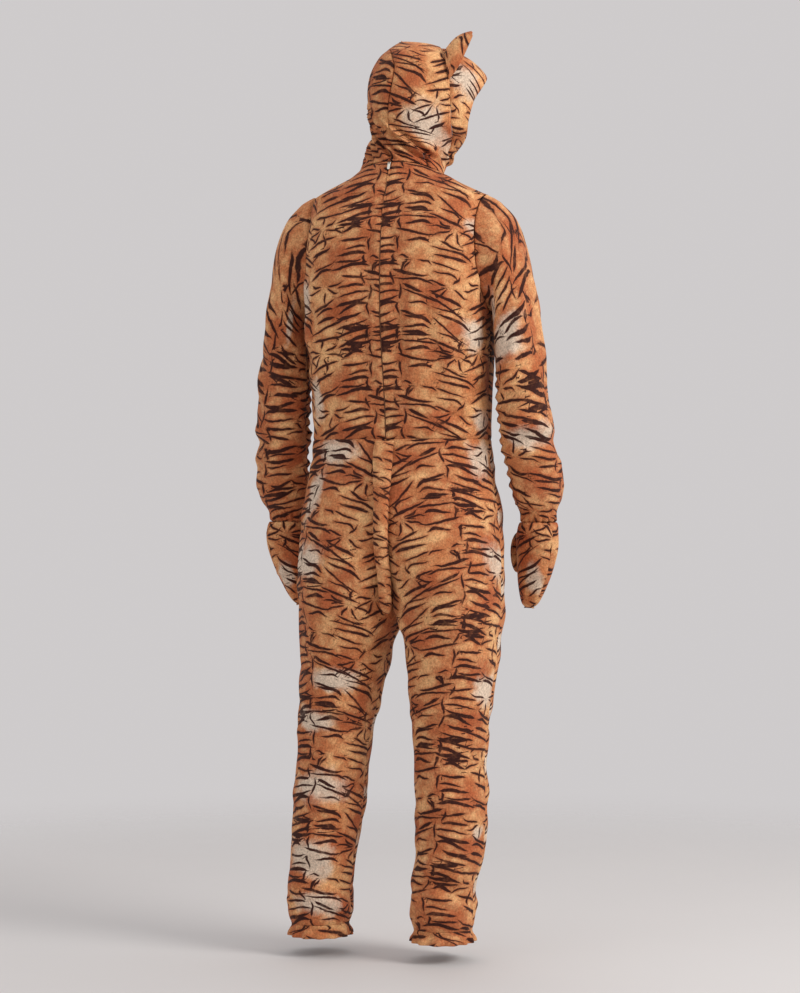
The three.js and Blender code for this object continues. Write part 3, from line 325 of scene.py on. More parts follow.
def makePlush(name):
    look = plushLook
    material, tree, shader, place = startMaterial(name, look["finish"])
    mid, light, rust, cream, stripe = [linear(*colour) for colour in look["colours"].values()]
    wave, clouds, drift, tuft, pile = [addNoise(tree, place, *row) for row in look["noise"].values()]
    # ink lies where the distance to a stroke's arc, plus a wobble, is less than the stroke's half width
    wobble = addMath(tree, "MULTIPLY_ADD", wave, 2 * look["wobble"], -look["wobble"])
    inks, nears = [], []
    for layer in strokes:
        vector = addNode(tree, "Attribute", attribute_name=layer).outputs["Vector"]
        signed, far, half = addNode(tree, "SeparateXYZ", {0: vector}).outputs
        side = addMath(tree, "ABSOLUTE", addMath(tree, "ADD", signed, wobble))
        ink = addRange(tree, addMath(tree, "SUBTRACT", half, side), -look["edge"], look["edge"])
        within = addRange(tree, far, look["reach"] - 1, look["reach"], 1.0, 0.0)
        inks.append(addMath(tree, "MULTIPLY", ink, within))
        nears.append(addMath(tree, "SUBTRACT", far, half))
    ink = addMath(tree, "MAXIMUM", addMath(tree, "MAXIMUM", *inks[:2]), inks[2])
    near = addMath(tree, "MINIMUM", addMath(tree, "MINIMUM", *nears[:2]), nears[2])
    # clouds of light on the ground, rust in patches and round the strokes, then cream, then the ink
    tone = addNode(tree, "Attribute", attribute_name="tone").outputs["Vector"]
    creamTone, rustTone = addNode(tree, "SeparateXYZ", {0: tone}).outputs[:2]
    base = addMix(tree, addRange(tree, clouds, 0.36, 0.66), mid, light)
    rusty = addMath(tree, "ADD", rustTone, addMath(tree, "MULTIPLY_ADD", drift, 1.2, -0.6))
    base = addMix(tree, addRange(tree, rusty, 0.1, 0.9, 0.0, 0.85), base, rust)
    base = addMix(tree, addRange(tree, near, 0.0, look["halo"], 0.55, 0.0), base, rust)
    pale = addMath(tree, "ADD", creamTone, addMath(tree, "MULTIPLY_ADD", clouds, 1.6, -0.8))
    base = addMix(tree, addRange(tree, pale, 0.26, 0.92), base, cream)
    ink = addMath(tree, "MULTIPLY", ink, addRange(tree, drift, 0.25, 0.5, 0.8, 1.0))
    base = addMix(tree, ink, base, stripe)
    # tufts and single fibres: light and dark specks, and a bump of the same grain
    grain = addMath(tree, "ADD", addMath(tree, "MULTIPLY", tuft, 0.7), addMath(tree, "MULTIPLY", pile, 0.5))
    speck = addRange(tree, grain, 0.32, 0.88, 0.5, 1.45)
    specks = addNode(tree, "CombineXYZ", {0: speck, 1: speck, 2: speck}).outputs[0]
    tree.links.new(addMix(tree, 1.0, base, specks, "MULTIPLY"), shader.inputs["Base Color"])
    soft = addNode(tree, "Bump", {"Strength": 0.35, "Distance": 0.006, "Height": drift}).outputs[0]
    bump = addNode(tree, "Bump", {"Strength": 0.55, "Distance": 0.0022, "Height": grain, "Normal": soft})
    tree.links.new(bump.outputs[0], shader.inputs["Normal"])
    return material


plush = makePlush("tiger_plush")
print("plush done")


def makeTrim(name, colour, roughness, metallic, scale):
    material, tree, shader, place = startMaterial(name, {"Roughness": roughness, "Metallic": metallic})
    grain = addNoise(tree, place, scale, 3.0)
    shades = darker(linear(*colour), 0.7), linear(*colour)
    tree.links.new(addMix(tree, grain, *shades), shader.inputs["Base Color"])
    bump = addNode(tree, "Bump", {"Strength": 0.3, "Distance": 0.0004, "Height": grain})
    tree.links.new(bump.outputs[0], shader.inputs["Normal"])
    return material


# reading tables and laying cloth
def readTable(rows, at):
    # a smooth curve through each column; at a row its slope is that of the chord between its neighbours
    table = np.array(sorted(rows), float)
    place, value = table[:, 0], table[:, 1:]
    index = np.arange(len(place))
    low, high = np.maximum(index - 1, 0), np.minimum(index + 1, len(place) - 1)
    slope = (value[high] - value[low]) / (place[high] - place[low])[:, None]
    at = np.clip(at, place[0], place[-1])
    k = np.clip(np.searchsorted(place, at) - 1, 0, len(place) - 2)
    span = (place[k + 1] - place[k])[..., None]
    t = ((at - place[k]) / span[..., 0])[..., None]
    found = (2 * t ** 3 - 3 * t ** 2 + 1) * value[k] + (t ** 3 - 2 * t ** 2 + t) * span * slope[k]
    found += (3 * t ** 2 - 2 * t ** 3) * value[k + 1] + (t ** 3 - t ** 2) * span * slope[k + 1]
    return np.moveaxis(found, -1, 0)


def smooth(value):
    share = np.clip(value, 0, 1)
    return share * share * (3 - 2 * share)


def mix(first, second, share):
    return first + (second - first) * share


def unit(value):
    return value / np.maximum(np.linalg.norm(value, axis=-1, keepdims=True), 1e-9)


def seamSteps(count, start=True, end=True, crowding=0.6):
    # steps from 0 to 1 that lie closer together at a seam
    t = np.linspace(0, 1, count)
    if start and end:
        return t - crowding * np.sin(2 * np.pi * t) / (2 * np.pi)
    shift = crowding * np.sin(np.pi * t) / np.pi
    return t - shift if start else t + shift


def rowLengths(points):
    # how far along each row of the grid a point lies, in mm
    step = np.linalg.norm(np.diff(points, axis=1), axis=-1)
    return np.concatenate([np.zeros((len(points), 1)), np.cumsum(step, 1)], 1)


def columnLengths(points):
    return rowLengths(points.transpose(1, 0, 2)).T


def gridNormals(points, core):
    # the cross product of the grid's two directions, turned to point away from the core
    normal = unit(np.cross(np.gradient(points, axis=1), np.gradient(points, axis=0)))
    facing = np.sum(normal * (points - core))
    return (normal, 1) if facing > 0 else (-normal, -1)


def bell(across, up, lean, length, width):
    # 1 at the middle; it falls off slowly along the lean and fast beside it
    along, beside = alongBeside(across, up, lean)
    return np.exp(-(along / length) ** 2 - (beside / width) ** 2)


def creaseRise(across, up, creases):
    rise = np.zeros(across.shape)
    for x, y, lean, length, width, height in creases:
        rise += height * bell(across - x, up - y, lean, length, width)
    return rise


def slackRise(across, up, size, phase):
    # the uneven lie of soft cloth: a few crossing waves of different length
    waves = np.sin(across / 31 + up / 47 + phase) * np.sin(up / 23 - across / 83 + 2 * phase)
    waves = waves + 0.7 * np.sin(up / 13 + 1.6 * np.sin(across / 29 + phase)) * np.sin(across / 41 + 3 * phase)
    return size * (waves + 0.5 * np.sin(across / 11 + up / 17 + 2.2 * np.sin(up / 37)))


def toMetres(points):
    return points.reshape(-1, 3) / 1000 - np.array([0, 0, shoulderHeight / 1000])


def makeMesh(name, points, sign, fields, cloth):
    # a grid of points in mm becomes quads that face outwards, with a UV map in metres of cloth
    rows, columns = points.shape[:2]
    index = np.arange(rows * columns).reshape(rows, columns)
    quads = np.stack([index[:-1, :-1], index[:-1, 1:], index[1:, 1:], index[1:, :-1]], -1).reshape(-1, 4)
    if sign < 0:
        quads = quads[:, ::-1]
    mesh = bpy.data.meshes.new(name)
    mesh.from_pydata(toMetres(points).tolist(), [], quads.tolist())
    mesh.polygons.foreach_set("use_smooth", np.ones(len(quads), bool))
    layer = mesh.uv_layers.new(name="cloth")
    layer.data.foreach_set("uv", (cloth.reshape(-1, 2)[quads.ravel()] / 1000).ravel())
    for key, value in fields.items():
        attribute = mesh.attributes.new(key, "FLOAT_VECTOR", "POINT")
        attribute.data.foreach_set("vector", value.reshape(-1, 3).astype(np.float32).ravel())
    return mesh


def addObject(name, mesh, material, body="garment"):
    made = bpy.data.objects.new(name, mesh)
    bpy.context.collection.objects.link(made)
    mesh.materials.append(material)
    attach(made, body)
    return made


seam = {  # mm: how far the cloth dips at a seam, and the edge that is turned under it
    "dip": 1.8, "half": 4.0, "allowance": 3.5, "turn": 1.0, "overlap": 4.0, "calm": 30, "thickness": 1.7,
    "lift": 1.35,  # how much stronger the creases are than their rows say
}
clothLook = {  # what a piece's own look leaves out
    "centre": 0.0, "creases": [], "slack": 0.8, "phase": 0.0, "extra": 0.0, "dips": {}, "turned": (),
    "printX": 0, "printY": 0, "printSign": 1, "spots": 0.0, "cream": 0.0, "patches": [],
    "held": "hung", "from": [],
}


def makeCloth(node, points, look, core=None):
    # points move out along their normals by creases and slack, and in at the seams; the slack is
    # calm near an edge, so that neighbours meet
    look = {**clothLook, **look}
    if core is None:
        core = points.mean(axis=1, keepdims=True)
    across, up = rowLengths(points), columnLengths(points)
    width, height = across[:, -1:], up[-1:]
    fromCentre = across - width * look["centre"]
    column = int(round(look["centre"] * (points.shape[1] - 1)))
    level = up[:, column:column + 1] + 0 * across
    normal, sign = gridNormals(points, core)
    slack = slackRise(fromCentre, level, look["slack"], look["phase"])
    rise = seam["lift"] * creaseRise(fromCentre, level, look["creases"]) + slack + look["extra"]
    calm = 1.0
    for distance, edge in ((across, "left"), (width - across, "right"), (up, "bottom"), (height - up, "top")):
        calm = calm * smooth((distance + 3) / seam["calm"])
        rise = rise - look["dips"].get(edge, 1.0) * seam["dip"] * np.exp(-(distance / seam["half"]) ** 2)
        if edge in look["turned"]:
            rise = rise - seam["allowance"] * np.exp(-(distance / seam["turn"]) ** 2)
    moved = points + normal * (rise - slack * (1 - calm))[..., None]

    printX = look["printX"] + look["printSign"] * fromCentre
    printY = look["printY"] + level
    spine = np.exp(-(offset(printX, 0, printRepeat["width"]) / 40) ** 2)
    rust = np.maximum(0.6 * spine, spotField(printX, printY, printRepeat["rust"]))
    cream = spotField(printX, printY, printRepeat["cream"]) * look["spots"] + look["cream"]
    for column, row, halfWide, halfHigh in look["patches"]:
        aside = fromCentre - (column - look["centre"]) * width.mean()
        above = level - row * level.max()
        cream = np.maximum(cream, np.exp(-0.5 * (np.abs(aside / halfWide) ** 3 + (above / halfHigh) ** 2)))
    fields = printFields(printX, printY, cream, rust)
    mesh = makeMesh(node + "_cloth", moved, sign, fields, np.stack([fromCentre, level], -1))
    made = addObject(node + "_cloth", mesh, plush)
    wall = made.modifiers.new("wall", "SOLIDIFY")
    wall.thickness, wall.offset = seam["thickness"] / 1000, -1
    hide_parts(node)

    # the cut: the laid cloth's greatest width and length, and half the product of each cell's diagonals
    cells = np.cross(moved[1:, 1:] - moved[:-1, :-1], moved[1:, :-1] - moved[:-1, 1:])
    area = float(0.5 * np.linalg.norm(cells, axis=-1).sum()) / 1e6
    flat = [float(lengths.max()) / 1000 for lengths in (rowLengths(moved), columnLengths(moved))]
    area = min(area, flat[0] * flat[1])
    print(made.name, "cut", [round(side, 3) for side in flat], "area", round(area, 3))
    return moved, normal


# small sewn parts: mm
trimRows = {
    "stitches": {
        "pitch": 3.4, "length": 2.6, "width": 0.55, "height": 0.45, "proud": 0.1, "slot": "plush_hood",
    },
    "teeth": {"pitch": 1.5, "length": 0.9, "width": 2.0, "height": 0.9, "proud": -0.3, "slot": "zip_coil"},
    "ring": [[-0.5, 0.45], [-0.32, 1], [0.32, 1], [0.5, 0.45]],  # share of the length, share of the width
    "sides": 6,
}


def spread(at, reach, values):
    return np.stack([np.interp(at, reach, column) for column in values.T], -1)


def makeRow(name, path, outward, form, material):
    # small six-sided blocks along a path, narrower at both ends, each turned with the path
    reach = np.concatenate([[0], np.cumsum(np.linalg.norm(np.diff(path, axis=0), axis=-1))])
    at = (np.arange(int(reach[-1] / form["pitch"])) + 0.5) * form["pitch"]
    ahead = unit(spread(at + 1, reach, path) - spread(at - 1, reach, path))
    out = unit(spread(at, reach, outward))
    axes = np.stack([ahead, np.cross(ahead, out), out], 1)
    place = spread(at, reach, path) + out * form["proud"]
    sides = trimRows["sides"]
    column = np.arange(sides)
    turn = column * 2 * np.pi / sides
    ring, size = np.array(trimRows["ring"]).T[..., None]
    wide, high = size * np.cos(turn) * form["width"] / 2, size * np.sin(turn) * form["height"] / 2
    shape = np.stack([ring * form["length"] + 0 * wide, wide, high], -1).reshape(-1, 3)
    points = place[:, None] + np.einsum("kc,ncd->nkd", shape, axes)
    near = (np.arange(len(ring) - 1)[:, None] * sides + column)[..., None]
    beyond = np.roll(near, -1, 1)
    quads = np.concatenate([near, beyond, beyond + sides, near + sides], -1).reshape(-1, 4)
    starts = len(shape) * np.arange(len(at))
    faces = (starts[:, None, None] + quads).reshape(-1, 4).tolist()
    faces += (starts[:, None] + column[::-1]).tolist()
    faces += (starts[:, None] + len(shape) - sides + column).tolist()
    mesh = bpy.data.meshes.new(name)
    mesh.from_pydata(toMetres(points).tolist(), [], faces)
    addObject(name, mesh, material)


# sections of the body and legs: |x/w|^p + |y/d|^p = 1, rounder than an ellipse where p is above 2
def sectionRadius(wideTurn, deepTurn, halfWidth, depth, power):
    return (np.abs(wideTurn / halfWidth) ** power + np.abs(deepTurn / depth) ** power) ** (-1 / power)


def sectionReach(share, power):
    # the share of one half axis that is left at this share of the other
    return (1 - share ** power) ** (1 / power)


# bodice
bodice = {
    "waist": 1044, "armpit": 1300, "tip": 1533, "neckHalf": 88, "neckBack": 74, "neckFront": 66,
    "neckHeight": 1576, "neckTilt": 24, "armholeBack": 80, "armholeFront": 76, "zipGap": 1.1,
    "rows": {"trunk": 58, "arm": 64, "slope": 28}, "backColumns": 58, "frontColumns": 100,
    "table": [  # height, half width, back, front, power
        [1044, 183, 105, 112, 2.4], [1125, 183, 114, 113, 2.6], [1226, 186, 134, 118, 2.9],
        [1300, 188, 143, 124, 3], [1400, 189, 142, 129, 3], [1450, 188, 136, 124, 2.9],
        [1495, 185, 123, 112, 2.7], [1533, 179, 107, 96, 2.5],
    ],
    "backCreases": [  # across from the centre back, height above the waist seam, lean, length, width, rise
        [70, 20, 8, 60, 10, 3], [150, 40, -18, 60, 13, -3.5], [60, 70, -30, 70, 14, 2.5],
        [150, 110, 24, 70, 16, 3.5], [190, 210, 52, 90, 14, 4], [165, 250, 48, 80, 12, -4],
        [110, 330, 30, 80, 18, 3], [60, 430, 10, 60, 16, 2.5], [205, 300, 74, 90, 12, 4],
        [24, 150, 86, 80, 8, -2], [22, 330, 92, 90, 8, -2], [38, 200, 90, 110, 11, -3],
        [66, 240, 85, 100, 13, 3], [98, 215, 96, 90, 12, -3], [130, 150, 80, 80, 14, 2.5],
    ],
    "frontCreases": [
        [-90, 40, -14, 70, 14, 3.5], [100, 70, 20, 80, 16, -3.5], [-150, 230, -52, 90, 15, 4],
        [150, 220, 52, 90, 15, 4], [0, 330, 4, 110, 26, 3], [60, 160, 34, 90, 18, 3],
        [-70, 140, -30, 90, 18, -3],
    ],
    "print": {  # patches: column, row, half width, half height
        "left": {"printX": 22, "printSign": -1, "patches": [[0.9, 0.5, 26, 36], [0.72, 0.15, 18, 34]]},
        "right": {"printX": -37, "printSign": 1,
                  "patches": [[0.9, 0.74, 32, 18], [0.88, 0.36, 26, 26], [0.95, 0.06, 24, 16]]},
    },
}


def bodicePoint(height, slope, angle):
    # a rounded section that shrinks to the neck ring along the shoulder slope
    halfWidth, deepBack, deepFront, power = readTable(bodice["table"], height)
    sine, cosine = np.sin(angle), np.cos(angle)
    atBack = cosine > 0
    halfWidth = mix(halfWidth, bodice["neckHalf"], slope)
    neckDeep = np.where(atBack, bodice["neckBack"], bodice["neckFront"])
    depth = mix(np.where(atBack, deepBack, deepFront), neckDeep, slope)
    radius = sectionRadius(sine, cosine, halfWidth, depth, mix(power, 2, slope))
    height = mix(height, bodice["neckHeight"] + bodice["neckTilt"] * cosine, slope)
    return np.stack([radius * sine, radius * cosine, height + 0 * radius], -1)


def armholeAngle(height, turn, atBack):
    # the armhole is cut at a depth of reach·cos(turn); rows below and above it end at the side
    halfWidth, deepBack, deepFront, power = readTable(bodice["table"], height)
    reach = (bodice["armholeBack"] if atBack else bodice["armholeFront"]) * np.cos(turn)
    depth = deepBack if atBack else deepFront
    return np.arctan2(halfWidth * sectionReach(np.abs(reach) / depth, power), reach)


def armholeHeight(turn):
    middle, half = (bodice["armpit"] + bodice["tip"]) / 2, (bodice["tip"] - bodice["armpit"]) / 2
    return middle + half * np.sin(turn)


def bodiceRows():
    # height, share of the shoulder slope and turn round the armhole, from the waist up to the neck
    trunk, arm, slope = bodice["rows"].values()
    low = mix(bodice["waist"], bodice["armpit"], seamSteps(trunk, end=False)[:-1])
    turn = np.linspace(-np.pi / 2, np.pi / 2, arm)
    rising = seamSteps(slope, start=False)[1:]
    height = np.concatenate([low, armholeHeight(turn), np.full(len(rising), bodice["tip"])])
    slopes = np.concatenate([0 * low, 0 * turn, rising])
    turns = np.concatenate([np.full(len(low), np.pi / 2), turn, np.full(len(rising), np.pi / 2)])
    return height, slopes, turns


def makeBodice():
    # a back piece runs from the zip round to its armhole or side seam, and the front spans the rest
    height, slopes, turns = bodiceRows()
    rows, slopeRows = height[:, None], slopes[:, None]
    for side, hand in hands:
        reach = armholeAngle(height, turns, True)[:, None]
        points = bodicePoint(rows, slopeRows, side * (reach * seamSteps(bodice["backColumns"])[None]))
        points[:, 0, 0] = side * bodice["zipGap"]
        makeCloth("bodice_back_" + hand, points, {
            "creases": bodice["backCreases"], "slack": 1.3, "phase": 1.0 + side, "printY": 12,
            "dips": {"left": 0.5, "right": 0.35, "bottom": 0.8, "top": 0.5}, "turned": ("right", "top"),
            **bodice["print"][hand]})
    share = 2 * seamSteps(bodice["frontColumns"])[None] - 1
    points = bodicePoint(rows, slopeRows, np.pi + armholeAngle(height, turns, False)[:, None] * share)
    makeCloth("bodice_front", points, {
        "creases": bodice["frontCreases"], "slack": 1.0, "centre": 0.5, "printY": 30, "spots": 1.0,
        "dips": {"left": 0.35, "right": 0.35, "bottom": 0.8, "top": 0.5}, "turned": ("left", "right", "top")})


makeBodice()

# sleeves
sleeve = {
    "rows": 150, "columns": 92, "armhole": 0.05, "edge": 0.2,
    "raised": {"left": (11, 0.03), "right": (-6, 0.12)},  # mm, at this share of the length
    "printX": {"left": -110, "right": -168}, "printY": {"left": 70, "right": 10},
    "patches": {  # column, row, half width, half height
        "right": [[0.2, 0.25, 46, 28], [0.27, 0.6, 46, 17], [0.17, 0.1, 18, 20], [0.7, 0.5, 44, 22]],
        "left": [[0.19, 0.15, 9, 30], [0.62, 0.4, 36, 20], [0.5, 0.75, 30, 14]],
    },
    "table": [  # share, underarm x and height, outer x and height, y, half depth
        [0.05, 195, 1297, 206, 1519, 0, 80], [0.12, 199, 1286, 237, 1490, 1, 80],
        [0.20, 200, 1262, 258, 1437, 2, 77], [0.29, 200, 1230, 272, 1370, 3, 73],
        [0.38, 201, 1195, 284, 1300, 4, 70], [0.47, 201, 1155, 295, 1218, 4, 66],
        [0.56, 203, 1108, 304, 1140, 1, 63], [0.64, 206, 1062, 310, 1075, -6, 61],
        [0.71, 210, 1020, 316, 1022, -18, 59], [0.78, 214, 980, 321, 980, -32, 57],
        [0.84, 217, 950, 324, 948, -44, 56], [0.89, 222, 925, 319, 922, -51, 51],
        [0.95, 232, 900, 306, 899, -57, 40], [1.00, 233, 880, 305, 880, -60, 36],
    ],
    "creases": [  # across from the underarm seam, length down from the armhole, lean, length, width, rise
        [110, 60, 40, 70, 14, 3], [330, 60, -40, 70, 14, 3], [130, 120, -36, 90, 13, 4.5],
        [150, 160, -34, 95, 11, -4.5], [120, 200, -28, 90, 12, 4.5], [300, 130, 34, 90, 13, 4],
        [120, 250, 12, 70, 10, 5], [130, 275, -4, 70, 10, -5], [115, 300, 10, 80, 11, 4.5],
        [300, 262, -14, 70, 11, 5], [300, 292, 4, 70, 10, -4.5], [90, 380, -24, 70, 12, 4],
        [280, 400, 24, 80, 13, 4], [120, 455, 14, 70, 11, -4.5], [110, 480, 6, 80, 11, 5],
        [270, 470, -16, 80, 12, 5], [90, 545, -10, 70, 10, 5], [250, 560, 10, 80, 10, 5],
        [160, 590, 4, 80, 8, -4], [120, 612, -6, 90, 8, 5], [260, 615, 6, 80, 8, 4],
    ],
}


def sleevePleats(share, turn):
    # gathers at the wrist, and scallops down the inner side of the forearm
    gather = smooth((share - 0.9) / 0.1)
    pleats = 2.2 * gather * np.sin(turn * 17 + 2 * np.sin(3 * turn))
    forearm = smooth((share - 0.4) / 0.08) * (1 - smooth((share - 0.84) / 0.06))
    scallops = forearm * np.exp(-1.5 * (1 + np.sin(turn))) * np.sin(160 * share + 1.5 * np.sin(19 * share))
    return pleats + 3.2 * scallops


def makeSleeve(side, hand):
    # rings round the sleeve: middle + reach·sin(turn) + depth·cos(turn); the first ring is the armhole
    turn = -np.pi / 2 + 2 * np.pi * seamSteps(sleeve["columns"])[None]
    share = seamSteps(sleeve["rows"])[:, None]
    innerX, innerZ, outerX, outerZ, y, deep = readTable(sleeve["table"], share)
    inner = np.stack([innerX, y, innerZ], -1)
    outer = np.stack([outerX, y, outerZ], -1)
    ring = (inner + outer) / 2 + (outer - inner) / 2 * np.sin(turn)[..., None]
    ring[..., 1] += deep * np.cos(turn)
    armTurn = np.where(np.cos(turn) >= 0, turn, np.pi - turn)
    height = armholeHeight(armTurn)
    atBack = armholeAngle(height, armTurn, True)
    atFront = np.pi - armholeAngle(height, armTurn, False)
    edge = bodicePoint(height, 0, np.where(np.cos(turn) >= 0, atBack, atFront))
    edge[..., 0] += sleeve["edge"]
    points = mix(edge, ring, np.clip(share / sleeve["armhole"], 0, 1)[..., None])
    rise, at = sleeve["raised"][hand]
    shoulder = np.exp(-((share - at) / 0.09) ** 2) * (1 + np.sin(turn)) / 2
    points[..., 2] += rise * shoulder * smooth(share / 0.012)
    points[0, :, 0] -= seam["overlap"]
    points[-1, :, 2] -= seam["overlap"]
    points[..., 0] *= side
    makeCloth("sleeve_" + hand, points, {
        "creases": sleeve["creases"], "slack": 1.7, "phase": 2.0 + side, "extra": sleevePleats(share, turn),
        "printX": sleeve["printX"][hand], "printY": sleeve["printY"][hand], "patches": sleeve["patches"][hand],
        "dips": {"bottom": 0.2, "top": 0.5}, "turned": ("bottom", "top"), "from": ["bodice_back_" + hand]})


for side, hand in hands:
    makeSleeve(side, hand)

# mittens
mitten = {
    "turn": 38, "top": 879.5, "length": 175.5, "rows": 46, "columns": 40, "thumbRows": 40, "thumbColumns": 30,
    "table": [  # height, x, y, half width, half thickness
        [880, 269, -60, 36, 36], [866, 268, -61, 44, 38], [850, 266, -63, 49, 38], [828, 264, -67, 50, 37],
        [802, 261, -72, 47, 35], [776, 257, -76, 42, 31], [752, 252, -79, 36, 26], [730, 248, -81, 29, 20],
        [713, 245, -83, 21, 12], [704, 243, -84, 13, 0],
    ],
    "thumb": [  # step, out of the edge, down, turned, radius
        [0, 1.2, 0, -14, 14], [1, 8.6, 4, 15, 14.5], [2, 15.1, 13, 46, 14], [3, 19.1, 28, 76, 13.5],
        [4, 19.4, 45, 88, 12.5], [5, 18, 60, 90, 10], [6, 16.5, 70, 95, 5.5], [6.5, 16.2, 73, 95, 0.4],
    ],
    "thumbHeight": 848,
    "creases": [[40, 20, 10, 50, 8, 3], [60, 60, -12, 50, 9, -2.5], [50, 110, 16, 40, 9, 2.5]],
    "patches": [[0.8, 0.62, 16, 24]],
}


def makeMitten(side, hand):
    # palm and back are half a ring each: middle + half width·cos(turn) + half thickness·sin(turn)
    c, s = np.cos(np.radians(mitten["turn"])), np.sin(np.radians(mitten["turn"]))
    across, thick = np.array([-side * c, -s, 0]), np.array([-side * s, c, 0])
    height = (mitten["top"] - mitten["length"] * seamSteps(mitten["rows"]))[:, None]
    x, y, wide, deep = readTable(mitten["table"], height)
    middle = np.stack([side * x, y, height], -1)
    for start, part, printY in ((0, "palm", 150), (np.pi, "back", 60)):
        turn = start + np.pi * seamSteps(mitten["columns"])[None]
        points = middle + across * (wide * np.cos(turn))[..., None] + thick * (deep * np.sin(turn))[..., None]
        gather = 1.3 * (1 - smooth((880 - height) / 34)) * np.sin(turn * 18)
        makeCloth("mitten_" + part + "_" + hand, points, {
            "creases": mitten["creases"], "patches": mitten["patches"], "slack": 0.6, "phase": start + side,
            "centre": 0.5, "printX": 96, "printY": printY, "extra": gather, "turned": ("bottom",),
            "dips": {"top": 0.2, "bottom": 0.6, "left": 0.7, "right": 0.7}, "from": ["sleeve_" + hand]},
            core=middle)

    # the thumb: rings along a bent line that leaves the mitten's edge and turns down
    share = mitten["thumb"][-1][0] * seamSteps(mitten["thumbRows"])[:, None]
    out, down, lean, radius = readTable(mitten["thumb"], share)
    x, y, wide, deep = readTable(mitten["table"], np.full((1, 1), mitten["thumbHeight"]))
    base = np.stack([side * x, y, 0 * x + mitten["thumbHeight"]], -1) + across * wide[..., None]
    drop = np.array([0, 0, -1.0])
    middle = base + across * out[..., None] + drop * down[..., None]
    lean = np.radians(lean)[..., None]
    third = drop * np.cos(lean) - across * np.sin(lean)
    turn = 2 * np.pi * np.linspace(0, 1, mitten["thumbColumns"])[None]
    points = middle + np.cross(across, drop) * (radius * np.cos(turn))[..., None]
    points = points + third * (radius * np.sin(turn))[..., None]
    makeCloth("mitten_thumb_" + hand, points, {
        "slack": 0.3, "printX": 70, "printY": 180, "from": ["mitten_palm_" + hand],
        "dips": {"top": 0, "bottom": 0.4, "left": 0, "right": 0}}, core=middle)


for side, hand in hands:
    makeMitten(side, hand)
print("bodice, sleeves and mittens done")

# legs
legs = {
    "crotch": 689, "hemTop": 66, "rows": 214, "columns": 80, "printX": {"left": -112, "right": -128},
    "printY": {"left": 20, "right": 95}, "frontShift": 110,  # the front pieces lie further up the print
    "patches": {  # column, row, half width, half height
        "left": [[0.5, 0.975, 52, 20], [0.4, 0.885, 24, 40], [0.45, 0.75, 48, 28], [0.62, 0.505, 42, 19],
                 [0.4, 0.425, 40, 20], [0.47, 0.285, 50, 24], [0.42, 0.14, 46, 32], [0.5, 0.045, 46, 18]],
        "right": [[0.2, 0.955, 28, 30], [0.15, 0.75, 40, 34], [0.12, 0.49, 34, 24], [0.12, 0.2, 16, 12]],
    },
    "table": [  # height, half width, back, front, power
        [1044, 183, 105, 112, 2.4], [963, 164, 120, 119, 2.3], [883, 142, 134, 120, 2.2],
        [802, 122, 140, 116, 2.2], [745, 110.5, 136, 111, 2.2], [689, 104.5, 126, 108, 2.2],
        [640, 95, 112, 104, 2.1], [600, 91, 105, 100, 2.1], [519, 83, 96, 92, 2], [408, 73, 84, 84, 2],
        [307, 72, 83, 77, 2], [216, 68, 79, 72, 2], [145, 64, 74, 70, 2], [91, 65, 73, 71, 2],
        [66, 60, 68, 66, 2],
    ],
    "stride": [  # height, left leg out, right leg out, set back
        [1044, 0, 0, 0], [963, 28, 28, 0], [883, 61, 61, 0], [802, 88, 88, 0], [745, 98.5, 98.5, 0],
        [689, 104.5, 104.5, 0], [640, 114, 108, 2], [600, 119, 109, 3], [519, 131, 105, 3], [408, 145, 104, 4],
        [307, 151, 107, 8], [216, 163, 106, 10], [145, 168, 90, 10], [91, 171, 90, 10], [66, 171, 90, 10],
    ],
    "folds": {  # height, angle from the outer seam, lean, length, width, rise
        "left": [[655, 120, 35, 70, 16, 5], [560, 60, -20, 60, 18, -4], [500, 95, 8, 75, 16, 6],
                 [470, 100, 4, 70, 14, -5], [330, 40, 30, 70, 18, 4], [205, 110, -25, 70, 18, 6],
                 [150, 60, 20, 65, 16, 6], [110, 130, -18, 60, 14, 6], [150, 270, 15, 60, 18, 6],
                 [480, 270, 0, 70, 20, -5]],
        "right": [[655, 120, 35, 70, 16, 5], [560, 70, -24, 60, 18, -4], [505, 85, -6, 75, 16, 6],
                  [472, 95, -4, 70, 14, -5], [310, 50, 30, 70, 18, 4], [190, 95, 35, 85, 16, 8],
                  [150, 60, 38, 75, 14, -7], [118, 100, 30, 70, 13, 7], [150, 270, -15, 60, 18, 6],
                  [480, 270, 0, 70, 20, -5]],
    },
    "creases": [  # across from the outer seam, length up from the hem, lean, length, width, rise
        [70, 60, 20, 60, 9, 3.5], [150, 90, -24, 60, 9, -3.5], [90, 130, 34, 70, 10, 3],
        [120, 250, -16, 80, 14, 2.5], [100, 400, 12, 70, 9, 3], [150, 430, -10, 60, 9, -3],
        [230, 590, 40, 80, 12, 3.5], [200, 630, 48, 70, 10, -3], [130, 700, 12, 90, 18, 2.5],
        [60, 820, -30, 90, 16, 3], [150, 880, 26, 90, 14, 2.5], [70, 945, 4, 70, 9, -2.5],
        [170, 940, -8, 60, 8, 2.5],
    ],
}
hem = {"low": 40, "gap": 0.5, "rows": 12, "waves": 14, "waveSize": 3.6, "pinch": 3.0, "flare": 4.0}


def legSize(side, height):
    # half width, depths and power of the leg's section, and how far its middle stands out and back
    halfWidth, deepBack, deepFront, power = readTable(legs["table"], height)
    left, rightOut, setBack = readTable(legs["stride"], height)
    out = left if side > 0 else rightOut
    out = np.where(height > legs["crotch"], np.minimum(out, halfWidth), out)
    return halfWidth, deepBack, deepFront, power, out, setBack


